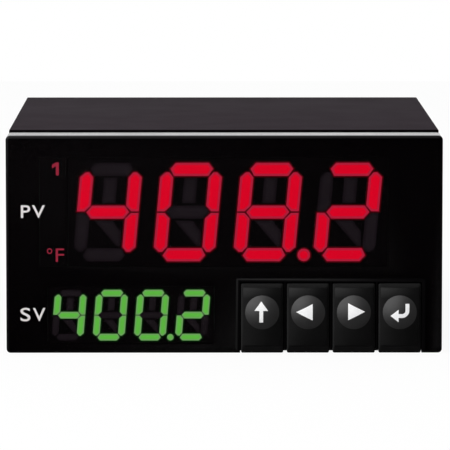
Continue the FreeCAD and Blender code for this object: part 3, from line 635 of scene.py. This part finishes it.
@dataclass
class Letter:
    """One flat letter or digit that faces the front, made to fill a rectangle."""

    sign: str
    x: Span
    z: Span
    y: float
    thickness: float
    boldness: float
    text_depth: float = 0.01
    curve_steps: int = 6
    merge: float = 0.1 * MERGE

    def build(self) -> Piece:
        """Model the letter.

        Returns:
            The letter's mesh, with its front face at y.
        """
        bpy.ops.object.select_all(action="DESELECT")
        bpy.ops.object.text_add(location=(0, 0, 0))
        curve = bpy.context.object
        curve.data.body = self.sign
        curve.data.offset = self.boldness
        curve.data.extrude = self.text_depth
        curve.data.resolution_u = self.curve_steps
        bpy.ops.object.convert(target="MESH")
        letter = bpy.context.object
        low, high = (Vector(pick(column) for column in zip(*letter.bound_box))
                     for pick in (min, max))
        size = high - low
        scale = ((self.x[1] - self.x[0]) / size.x, (self.z[1] - self.z[0]) / size.y,
                 self.thickness / size.z)
        letter.scale = scale
        letter.rotation_euler = (math.pi / 2, 0, 0)
        letter.location = (self.x[0] - low.x * scale[0], self.y + high.z * scale[2],
                           self.z[0] - low.y * scale[1])
        settle(letter)
        with editing(letter, "FACE", everything):
            bpy.ops.mesh.remove_doubles(threshold=self.merge)
        return letter


class KeySymbol(Enum):
    """Symbols printed on the keys, by the key's name."""

    UP = "up"
    LEFT = "left"
    RIGHT = "right"
    ENTER = "enter"


@dataclass
class Dome:
    """Domed spot of a key, cut from a sphere, with its root sunk in the tile."""

    foot: float
    height: float
    z: float = -14.95 * MM
    width: float = 7.5 * MM
    root: float = 0.1 * MM
    sides: int = 96

    @property
    def sphere(self) -> float:
        """Radius of the sphere."""
        half = self.width / 2
        return (half ** 2 + self.height ** 2) / (2 * self.height)

    def build(self, name: str, x: float, swell: float = 0.0) -> Piece:
        """Model the dome.

        Args:
            name: Name of the piece.
            x: X of its centre.
            swell: How far it stands outside the dome's true face.

        Returns:
            The dome.
        """
        bpy.ops.object.select_all(action="DESELECT")
        middle = self.foot - self.height + self.sphere
        bpy.ops.mesh.primitive_uv_sphere_add(
            segments=self.sides, ring_count=self.sides, radius=self.sphere + swell,
            rotation=(math.pi / 2, 0, 0), location=(x, middle, self.z))
        dome = new_piece(name)
        with editing(dome, "FACE", everything):
            bpy.ops.mesh.bisect(plane_co=(0, self.foot + self.root, 0), plane_no=REAR,
                                use_fill=True, clear_outer=True, threshold=MERGE)
        smooth(dome)
        return dome


@dataclass
class KeySign:
    """Symbol on a key's dome: a thin print that follows its curve."""

    symbol: KeySymbol
    x: float
    dome: Dome
    thickness: float = 0.012 * MM
    reach: float = 2 * MM     # depth of a stroke before it is cut to the print
    step: float = 0.1 * MM    # keeps the ends of two strokes off the same plane
    tip: float = 0.01         # width left at a head's tip, as a share of its root's
    up_head: Rectangle = ((-1.72 * MM, 1.28 * MM), (0.45 * MM, 2.5 * MM))
    up_post: Rectangle = ((-0.64 * MM, 0.2 * MM), (-2.15 * MM, 0.6 * MM))
    left_head: Rectangle = ((-2.6 * MM, 1.0 * MM), (-1.7 * MM, 1.95 * MM))
    right_head: Rectangle = ((-1.3 * MM, 2.4 * MM), (-1.65 * MM, 2.1 * MM))
    enter_level: float = -0.7 * MM
    enter_top: float = 1.95 * MM
    enter_stroke: float = 0.86 * MM
    enter_bend: float = 0.45 * MM
    enter_radius: float = 1.2 * MM
    enter_neck: float = -0.6 * MM
    enter_overlap: float = 0.03 * MM
    enter_head: Span = (-2.05 * MM, -0.3 * MM)
    enter_head_half: float = 1.4 * MM
    bend_steps: int = 12

    def build(self) -> Piece:
        """Model the symbol.

        Returns:
            The print.
        """
        shapes = {KeySymbol.UP: self._up, KeySymbol.LEFT: self._left,
                  KeySymbol.RIGHT: self._right, KeySymbol.ENTER: self._enter}
        sign, *others = shapes[self.symbol]()
        sign.name = self.symbol.value + "_symbol"
        for stroke in others:
            carve(sign, stroke, "UNION")
        carve(sign, self.dome.build("print_shell", self.x, self.thickness), "INTERSECT")
        smooth(sign)
        return sign

    def _bar(self, x: Span, z: Span, step: float = 0.0) -> Piece:
        """Straight stroke of a symbol.

        Args:
            x: Low and high X from the dome's centre.
            z: Low and high Z from the dome's centre.
            step: How far its two faces are from those of the other strokes.

        Returns:
            The stroke, deep enough to cross the dome's face.
        """
        front, rear = self.dome.foot - self.reach - step, self.dome.foot - step
        return add_box("stroke", (self.x + x[0], front, self.dome.z + z[0]),
                       (self.x + x[1], rear, self.dome.z + z[1]))

    def _wedge(self, x: Span, z: Span, toward: Point) -> Piece:
        """Triangular head of a symbol, pointing along X or Z.

        Args:
            x: Low and high X from the dome's centre.
            z: Low and high Z from the dome's centre.
            toward: The direction that the head points in.

        Returns:
            The head, deep enough to cross the dome's face.
        """
        head = self._bar(x, z)
        middle = (self.x + sum(x) / 2, self.dome.foot, self.dome.z + sum(z) / 2)
        squeeze = (1 if toward[0] else self.tip, 1, 1 if toward[2] else self.tip)
        with editing(head, "FACE", facing(toward)):
            bpy.ops.transform.resize(value=squeeze, center_override=middle)
        return head

    def _up(self) -> list[Piece]:
        """Arrow that points up."""
        return [self._wedge(*self.up_head, UP), self._bar(*self.up_post, self.step)]

    def _left(self) -> list[Piece]:
        """Triangle that points left."""
        return [self._wedge(*self.left_head, LEFT)]

    def _right(self) -> list[Piece]:
        """Triangle that points right."""
        return [self._wedge(*self.right_head, RIGHT)]

    def _enter(self) -> list[Piece]:
        """Arrow that comes down from the right and points left.

        Returns:
            The post with its bend, the neck and the head.
        """
        level, half, wide = self.enter_level, self.enter_stroke / 2, self.enter_head_half
        right = self.enter_bend + self.enter_radius
        turn = level + self.enter_radius
        post = self._bar((right - half, right + half), (turn, self.enter_top))
        with editing(post, "FACE", facing(DOWN)):
            bpy.ops.mesh.spin(steps=self.bend_steps, angle=math.radians(90), axis=FRONT,
                              center=(self.x + self.enter_bend, self.dome.foot, self.dome.z + turn))
        with editing(post, "FACE", everything):
            bpy.ops.mesh.normals_make_consistent(inside=False)
        neck = self._bar((self.enter_neck, self.enter_bend + self.enter_overlap),
                         (level - half, level + half), self.step)
        head = self._wedge(self.enter_head, (level - wide, level + wide), LEFT)
        return [post, neck, head]


@dataclass
class Keys:
    """Four hinged keys: one moulding, copied, with a symbol printed on each copy."""

    sample: str = "key_up"
    width: float = 9.3 * MM
    plate_y: Span = (-10.95 * MM, -9.3 * MM)
    pad_y: float = -11.35 * MM
    corner: float = 0.35 * MM
    corner_steps: int = 4
    edge: float = 0.14 * MM
    edge_steps: int = 3
    pad_side: float = 0.4 * MM
    pad_top: float = 0.75 * MM
    pad_bottom: float = 1.4 * MM
    pad_draft: float = 0.01
    apron_slope: float = 0.32 * MM
    brow_slope: float = 0.2 * MM
    skirt_top: float = -12.0 * MM
    skirt_depth: float = 0.9 * MM
    skirt_wall: float = 0.8 * MM
    barrel_length: float = 8.3 * MM
    barrel_radius: float = 0.75 * MM
    barrel_lead: float = 0.25 * MM
    pin_radius: float = 0.45 * MM
    stem_radius: float = 1.2 * MM
    stem_root: float = 0.1 * MM
    sides: int = 32

    def centre(self, node: str) -> float:
        """X of a key's centre."""
        low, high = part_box(node)
        return (low.x + high.x) / 2

    def dome(self) -> Dome:
        """Dome that reaches as far forward as the frame's, less the print."""
        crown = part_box(self.sample)[0].y + KeySign.thickness
        return Dome(self.pad_y, self.pad_y - crown)

    def tile(self) -> Piece:
        """Model the tile with its raised pad and the rim behind it.

        Returns:
            The tile.
        """
        low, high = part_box(self.sample)
        middle, half = self.centre(self.sample), self.width / 2
        tile = add_box("key_tile", (middle - half, self.plate_y[0], low.z),
                       (middle + half, self.plate_y[1], high.z))
        with editing(tile, "EDGE", lambda spot, way: abs(way.y) > ALONG):
            bpy.ops.mesh.bevel(offset=self.corner, segments=self.corner_steps, affect="EDGES")
        self._raise_pad(tile)
        with editing(tile, "FACE", lambda spot, way: way.y > ALONG and spot.z < self.skirt_top):
            extrude((0, self.skirt_depth, 0))
            bpy.ops.mesh.inset(thickness=self.skirt_wall)
            extrude((0, -self.skirt_depth, 0))
        return soften(tile, self.edge, self.edge_steps)

    def _raise_pad(self, tile: Piece) -> None:
        """Raise the pad from the tile's front, and let its face fall back below and above.

        Args:
            tile: The tile.
        """
        low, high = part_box(self.sample)
        middle, front = self.centre(self.sample), self.plate_y[0]
        foot = low.z + self.pad_bottom + self.corner
        brow = high.z - self.pad_top - self.corner
        with editing(tile, "FACE", facing(FRONT)):
            extrude((0, 0, 0))
            bpy.ops.transform.resize(
                value=(1 - 2 * self.pad_side / self.width, 1,
                       1 - (self.pad_top + self.pad_bottom) / (high.z - low.z)),
                center_override=(middle, front, (low.z + high.z) / 2))
            bpy.ops.transform.translate(value=(0, 0, (self.pad_bottom - self.pad_top) / 2))
            extrude((0, self.pad_y - front, 0))
            bpy.ops.transform.resize(value=(1 - self.pad_draft, 1, 1 - self.pad_draft),
                                     center_override=(middle, self.pad_y, (foot + brow) / 2))
        dome = self.dome()
        for level in (self.skirt_top, dome.z - dome.width / 2, dome.z + dome.width / 2):
            split_at(tile, level)
        for outside, slope in ((lambda z: z < foot, self.apron_slope),
                               (lambda z: z > brow, self.brow_slope)):
            with editing(tile, "EDGE", lambda spot, way: outside(spot.z)
                         and spot.y < (front + self.pad_y) / 2 and abs(way.y) < ACROSS):
                bpy.ops.transform.translate(value=(0, slope, 0))

    def hinge(self) -> list[Piece]:
        """Model the barrel with its pins, and the stem behind the dome.

        Returns:
            The rods that make them up.
        """
        low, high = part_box(self.sample)
        middle = self.centre(self.sample)
        joint = next(joint for joint in frame["joints"] if joint["child"] == self.sample)
        y, z = joint["pos_m"][1:]
        root = self.plate_y[1] - self.stem_root
        barrel = add_rod("barrel", (middle - self.barrel_length / 2, y - self.barrel_lead, z),
                         self.barrel_length, self.barrel_radius, "X", self.sides)
        pins = add_rod("pins", (low.x, y, z), high.x - low.x, self.pin_radius, "X", self.sides)
        stem = add_rod("stem", (middle, root, self.dome().z), high.y - root,
                       self.stem_radius, "Y", self.sides)
        with editing(stem, "FACE", facing(REAR)):
            bpy.ops.mesh.bevel(offset=self.stem_radius / 2, segments=self.edge_steps,
                               affect="EDGES")
        return [barrel, pins, stem]

    def moulding(self) -> Piece:
        """Model one key, in the place of the sample.

        Returns:
            The key without its symbol.
        """
        middle = self.centre(self.sample)
        black = [Finishes.KEY.dress(piece) for piece in [self.tile()] + self.hinge()]
        grey = Finishes.DOME.dress(self.dome().build("dome", middle))
        return merge(black + [grey], "key_moulding")

    def build(self) -> None:
        """Copy the moulding for each key and print its symbol."""
        moulding = self.moulding()
        for symbol in KeySymbol:
            node = "key_" + symbol.value
            x = self.centre(node)
            key = moved_copy(moulding, node + "_moulding", (x - self.centre(self.sample), 0, 0))
            attach(key, node, [node])
            sign = Finishes.KEY_INK.dress(KeySign(symbol, x, self.dome()).build())
            attach(sign, node)
        bpy.data.objects.remove(moulding)


@dataclass
class Digits:
    """One row of seven-segment digits, with a painted glow round the lit segments."""

    name: str
    slot: str
    lit: Finish
    rim: Finish
    # glow is the finish of the painted glow round the lit segments.
    glow: Finish
    rim_width: float
    lead: float = 0.03 * MM          # how far the segments stand before the frame's
    glow_width: float = 0.3 * MM
    glow_lead: float = 0.015 * MM
    glow_thickness: float = 0.01 * MM

    def _segments(self, node: str, core: Finish, rim: Finish) -> Piece:
        """Copy a node of segments, a hair proud, and part each face into a core and a rim.

        Args:
            node: Name of the node.
            core: Finish of the core.
            rim: Finish of the rim.

        Returns:
            The segments.
        """
        segments = rounded_copy(node)
        rim.dress(segments)
        segments.data.materials.append(core.material())
        with editing(segments, "FACE", facing(FRONT)):
            bpy.ops.mesh.inset(thickness=self.rim_width, use_boundary=True)
            segments.active_material_index = 1
            bpy.ops.object.material_slot_assign()
        with editing(segments, "FACE", facing(FRONT)):
            bpy.ops.transform.translate(value=(0, -self.lead, 0))
        return segments

    def _painted_glow(self, node: str) -> Piece:
        """Widen the lit segments into a glowing patch round them: painted glow for the light that
        they throw on the display's face.

        Args:
            node: Name of the node of lit segments.

        Returns:
            The patches, thin plates between the display's face and those of the segments.
        """
        patch = rounded_copy(node)
        patch.name = self.name + "_painted_glow"
        low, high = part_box(node)
        squeeze = self.glow_thickness / (high.y - low.y + 2 * self.glow_width)
        with editing(patch, "FACE", everything):
            bpy.ops.transform.shrink_fatten(value=self.glow_width, use_even_offset=True)
            bpy.ops.transform.translate(value=(0, self.glow_width, 0))
            bpy.ops.transform.resize(value=(1, squeeze, 1), center_override=(0, low.y, 0))
            bpy.ops.transform.translate(value=(0, -self.glow_lead, 0))
        return patch

    def build(self) -> None:
        """Build the lit and the unlit segments."""
        lit, unlit = self.name + "_segments_lit", self.name + "_segments_unlit"
        attach(self._segments(lit, self.lit, self.rim), "controller", [lit])
        attach(self._segments(unlit, Finishes.UNLIT, Finishes.UNLIT_RIM), "controller",
               [unlit])
        # Painted glow: a glowing plate round the lit segments stands for the light that they throw
        # on the face.
        attach(self.glow.dress(self._painted_glow(lit)), "controller")


@dataclass
class Signs:
    """Printed and lit letters of the front, each with its X and Z in millimetres."""

    gap: float = 0.01 * MM
    thickness: float = 0.02 * MM
    print_boldness: float = 0.008
    printed: tuple[tuple[str, tuple[Glyph, ...]], ...] = (
        ("pv_label", (("P", (-44.7, -42.65), (5.95, 8.75)), ("V", (-42.25, -39.4), (5.95, 8.75)))),
        ("sv_label", (("S", (-44.9, -42.7), (-16.95, -13.95)),
                      ("V", (-42.15, -39.4), (-16.9, -14.0)))))
    unit: tuple[Glyph, ...] = (("°", (-39.1, -37.9), (-2.25, -1.0)),
                               ("F", (-37.15, -35.3), (-4.0, -1.05)))
    one_x: Span = (-37.9 * MM, -36.4 * MM)
    one_z: Span = (15.15 * MM, 18.0 * MM)
    one_stroke: float = 0.64 * MM
    flag_height: float = 0.8 * MM
    flag_drop: float = 0.55 * MM

    def _row(self, name: str, letters: tuple[Glyph, ...], y: float, boldness: float = 0.0) -> Piece:
        """Set several letters.

        Args:
            name: Name of the piece.
            letters: Each letter with its X and Z in millimetres.
            y: Where their front faces are.
            boldness: How much their strokes are thickened.

        Returns:
            The letters as one piece.
        """
        row = [Letter(sign, tuple(edge * MM for edge in x), tuple(edge * MM for edge in z), y,
                      self.thickness, boldness).build() for sign, x, z in letters]
        return merge(row, name)

    def _one(self, y: float) -> Piece:
        """Model the digit 1: a stroke with a flag at its upper left.

        Args:
            y: Where its front face is.

        Returns:
            The digit.
        """
        left, flag = self.one_x[1] - self.one_stroke, self.one_z[1] - self.flag_height
        digit = add_box("channel_sign", (left, y, self.one_z[0]),
                        (self.one_x[1], y + self.thickness, self.one_z[1]))
        split_at(digit, flag)
        with editing(digit, "FACE", lambda spot, way: way.x < -ALONG and spot.z > flag):
            extrude((self.one_x[0] - left, 0, -self.flag_drop))
        return digit

    def build(self) -> None:
        """Print the letters on the window and light the signs behind it."""
        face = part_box("display_window")[0].y - self.gap
        for name, letters in self.printed:
            label = Finishes.LABEL_INK.dress(self._row(name, letters, face, self.print_boldness))
            attach(label, "controller")
        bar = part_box("annunciator_bar")[0].y - self.gap
        for sign in (self._one(bar), self._row("unit_sign", self.unit, bar)):
            attach(Finishes.RED_SIGN.dress(sign), "controller")


@dataclass
class Front:
    """Bezel, window, displays, lettering and keys."""

    bezel_edge: float = 0.05 * MM
    window_edge: float = 0.1 * MM
    window_gap: float = 0.05 * MM
    well_margin: float = 1.1 * MM
    well_top: float = -7.4 * MM
    notch_reach: float = 1 * MM

    def _window(self) -> Piece:
        """Model the smoked plate, cut out round the key well.

        Returns:
            The plate.
        """
        low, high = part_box("display_window")
        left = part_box("key_up")[0].x - self.well_margin
        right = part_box("key_enter")[1].x + self.well_margin
        plate = add_box("window_plate", low, (high.x, high.y - self.window_gap, high.z))
        notch = add_box("notch", (left, low.y - self.notch_reach, low.z - self.notch_reach),
                        (right, high.y + self.notch_reach, self.well_top))
        carve(plate, notch)
        return soften(plate, self.window_edge)

    def build(self) -> None:
        """Build the whole front."""
        bezel = Finishes.BEZEL.dress(rounded_copy("front_bezel", self.bezel_edge))
        attach(bezel, "controller", ["front_bezel"])
        attach(Finishes.WINDOW.dress(self._window()), "controller",
               ["display_window"])
        for node in ("annunciator_windows", "annunciator_bar", "pv_display_body",
                     "sv_display_body"):
            Finishes.DISPLAY_FACE.dress(frame["nodes"][node])
        Finishes.GASKET.dress(frame["nodes"]["panel_gasket"])
        Digits("pv", "red_light", Finishes.RED_LIGHT, Finishes.RED_RIM, Finishes.RED_PAINTED_GLOW,
               rim_width=0.5 * MM).build()
        Digits("sv", "green_light", Finishes.GREEN_LIGHT, Finishes.GREEN_RIM,
               Finishes.GREEN_PAINTED_GLOW, rim_width=0.3 * MM).build()
        Signs().build()
        Keys().build()


# Body and rear

@dataclass
class Body:
    """Case, sleeve, rear panel and what the case holds."""

    case_edge: float = 0.15 * MM
    sleeve_edge: float = 0.05 * MM
    shell_edge: float = 0.08 * MM
    inside: tuple[tuple[Finish, tuple[str, ...]], ...] = (
        (Finishes.COMPONENT, (
            "tact_switch_bodies", "switch_plunger_up", "switch_plunger_left",
            "switch_plunger_right", "switch_plunger_enter", "link_connectors", "bulk_capacitor",
            "mains_fuse", "output_relays", "processor_chip", "isolation_chips", "usb_tongue")),
        (Finishes.BOARD, ("display_board", "main_board", "output_board")),
        (Finishes.STEEL, ("board_screws",)),
        (Finishes.BRASS, ("display_pins",)),
        (Finishes.CORE, ("power_transformer",)))

    def _sleeve(self, node: str) -> Piece:
        """Round the sleeve and paint shade on the rim that meets the panel.

        Args:
            node: Name of the sleeve's frame node.

        Returns:
            The sleeve.
        """
        sleeve = Finishes.SLEEVE.dress(rounded_copy(node, self.sleeve_edge))
        # Painted shade: the front rim's faces take the near-black finish that stands for the shadow
        # in the gap behind the bezel.
        sleeve.data.materials.append(Finishes.SLEEVE_RIM_PAINTED_SHADE.material())
        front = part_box(node)[0].y
        with editing(sleeve, "FACE", lambda spot, way: way.y < -ALONG
                     and spot.y < front + self.sleeve_edge):
            sleeve.active_material_index = 1
            bpy.ops.object.material_slot_assign()
        return sleeve

    def build(self) -> None:
        """Round the outer mouldings and dress what stays as it is."""
        for node, slot, finish, edge in (
                ("case", "case_plastic", Finishes.CASE, self.case_edge),
                ("rear_panel", "case_plastic", Finishes.CASE, self.case_edge),
                ("usb_shell", "plated_steel", Finishes.STEEL, self.shell_edge)):
            attach(finish.dress(rounded_copy(node, edge)), "controller", [node])
        attach(self._sleeve("mounting_sleeve"), "sleeve", ["mounting_sleeve"])
        for finish, nodes in self.inside:
            for node in nodes:
                finish.dress(frame["nodes"][node])


@dataclass
class ClampScrew:
    """Screw that closes a terminal's clamp: a rounded head with a slot."""

    place: Point
    radius: float
    height: float
    slot_width: float = 0.6 * MM
    slot_depth: float = 0.55 * MM
    edge: float = 0.18 * MM
    edge_steps: int = 3
    sides: int = 40

    def build(self) -> Piece:
        """Model the screw.

        Returns:
            The screw.
        """
        x, y, z = self.place
        reach = 2 * self.radius
        head = add_rod("clamp_screw", self.place, self.height, self.radius, "Z", self.sides)
        slot = add_box("slot", (x - self.slot_width / 2, y - reach,
                                z + self.height - self.slot_depth),
                       (x + self.slot_width / 2, y + reach, z + 2 * self.height))
        carve(head, slot)
        return soften(head, self.edge, self.edge_steps)


@dataclass
class Terminal:
    """One plug-in screw terminal."""

    name: str
    edge: float = 0.18 * MM
    pitch: float = 5.08 * MM

    def _screws(self, node: str) -> Piece:
        """Model one clamp screw and copy it for each pole.

        Args:
            node: Name of the frame node of the screws.

        Returns:
            The row of screws.
        """
        low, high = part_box(node)
        radius = (high.y - low.y) / 2
        first = ClampScrew((low.x + radius, low.y + radius, low.z), radius,
                           high.z - low.z).build()
        poles = round((high.x - low.x - 2 * radius) / self.pitch) + 1
        row = [moved_copy(first, node, (number * self.pitch, 0, 0)) for number in range(1, poles)]
        return merge([first] + row, node + "_slotted")

    def build(self) -> None:
        """Round the plug, cut its screws and dress its metal."""
        plug = self.name + "_plug"
        housing = Finishes.TERMINAL.dress(rounded_copy(plug, self.edge))
        attach(housing, plug, [plug])
        screws = plug + "_screws"
        attach(Finishes.STEEL.dress(self._screws(screws)), plug, [screws])
        for node, finish in ((self.name + "_header", Finishes.TERMINAL),
                             (self.name + "_header_pins", Finishes.BRASS),
                             (plug + "_clamps", Finishes.STEEL)):
            finish.dress(frame["nodes"][node])


# Studio

@dataclass
class Studio:
    """Floor, light and camera, with their angles in degrees."""

    camera_place: Point = (-4.8 * MM, -961.1 * MM, 106.4 * MM)
    tilt: float = 6.129
    turn: float = 0.299
    view_angle: float = 5.926
    clip_start: float = 10 * MM
    ambient: float = 0.65
    front_gloss: float = 0.02
    behind_span: Span = (0.55, 0.95)
    softbox: Point = (-0.62, -0.52, 0.59)
    softbox_span: Span = (0.45, 0.95)
    softbox_gloss: float = 1.45
    floor_size: float = 1.6
    floor_colour: Colour = (0.8, 0.8, 0.8)
    floor_painted_glow: float = 1.02
    floor_share: float = 0.9    # how much of the floor's look to the camera is its glow
    lamp_place: Point = (-0.62, -0.52, 0.66)
    lamp_size: float = 1.1
    lamp_power: float = 7.5

    def world(self) -> None:
        """White backdrop; reflections see it behind, and a softbox at the upper left."""
        world = bpy.data.worlds.new("studio")
        bpy.context.scene.world = world
        world.use_nodes = True
        graph = Graph(world.node_tree)
        ray = graph.node("ShaderNodeLightPath")
        seen = (Value(graph, ray.outputs["Is Camera Ray"])
                + Value(graph, ray.outputs["Is Transmission Ray"]))
        mirrored = Value(graph, ray.outputs["Is Glossy Ray"])
        way = graph.node("ShaderNodeTexCoord").outputs["Generated"]
        back = graph.value("ShaderNodeSeparateXYZ", None, {0: way}, "Y").ramp(*self.behind_span)
        toward = graph.value("ShaderNodeVectorMath", {"operation": "DOT_PRODUCT"},
                             {0: way, 1: self.softbox}, "Value")
        softbox = toward.ramp(*self.softbox_span) * self.softbox_gloss
        gloss = self.front_gloss + back * (1 - self.front_gloss) + softbox
        level = mirrored * gloss + (1 - mirrored) * self.ambient
        strength = seen + (1 - seen) * level
        sky = graph.node("ShaderNodeBackground", None,
                         {"Color": (1, 1, 1, 1), "Strength": strength})
        graph.node("ShaderNodeOutputWorld", None, {"Surface": sky.outputs[0]})

    def floor(self) -> None:
        """Floor that the camera sees as white, save for a faint shadow."""
        bpy.ops.object.select_all(action="DESELECT")
        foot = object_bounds()[0][2]
        bpy.ops.mesh.primitive_plane_add(size=self.floor_size, location=(0, 0, foot))
        floor = new_piece("floor")
        floor.visible_glossy = False
        material, graph = new_material("floor_white")
        ray = graph.node("ShaderNodeLightPath")
        white = Value(graph, ray.outputs["Is Camera Ray"]) * self.floor_share
        matt = graph.node("ShaderNodeBsdfDiffuse", None, {"Color": (*self.floor_colour, 1)})
        bright = graph.node("ShaderNodeEmission", None, {"Strength": self.floor_painted_glow})
        mixed = graph.node("ShaderNodeMixShader", None,
                           {0: white, 1: matt.outputs[0], 2: bright.outputs[0]})
        graph.node("ShaderNodeOutputMaterial", None, {"Surface": mixed.outputs[0]})
        floor.data.materials.append(material)
        floor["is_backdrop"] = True

    def lamp(self) -> None:
        """Soft square lamp that faces the controller."""
        data = bpy.data.lights.new("key_light", "AREA")
        data.shape = "SQUARE"
        data.size = self.lamp_size
        data.energy = self.lamp_power
        lamp = bpy.data.objects.new("key_light", data)
        lamp.visible_glossy = False
        lamp.location = self.lamp_place
        lamp.rotation_euler = (-Vector(self.lamp_place)).to_track_quat("-Z", "Y").to_euler()
        bpy.context.scene.collection.objects.link(lamp)

    def camera(self) -> None:
        """Long lens, a little above the controller."""
        data = bpy.data.cameras.new("camera")
        data.angle = math.radians(self.view_angle)
        data.clip_start = self.clip_start
        camera = bpy.data.objects.new("camera", data)
        camera.location = self.camera_place
        camera.rotation_euler = (math.radians(90 - self.tilt), 0, -math.radians(self.turn))
        bpy.context.scene.collection.objects.link(camera)
        bpy.context.scene.camera = camera

    def build(self) -> None:
        """Set up the whole studio."""
        bpy.context.scene.view_settings.view_transform = "Standard"
        self.world()
        self.floor()
        self.lamp()
        self.camera()


def main() -> None:
    """Build every sub-assembly and the studio."""
    logging.basicConfig(level=logging.INFO, format="%(name)s: %(message)s")
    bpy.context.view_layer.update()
    Front().build()
    Body().build()
    for name in ("input", "power", "output"):
        Terminal(name).build()
    Studio().build()


if __name__ == "__main__":
    main()
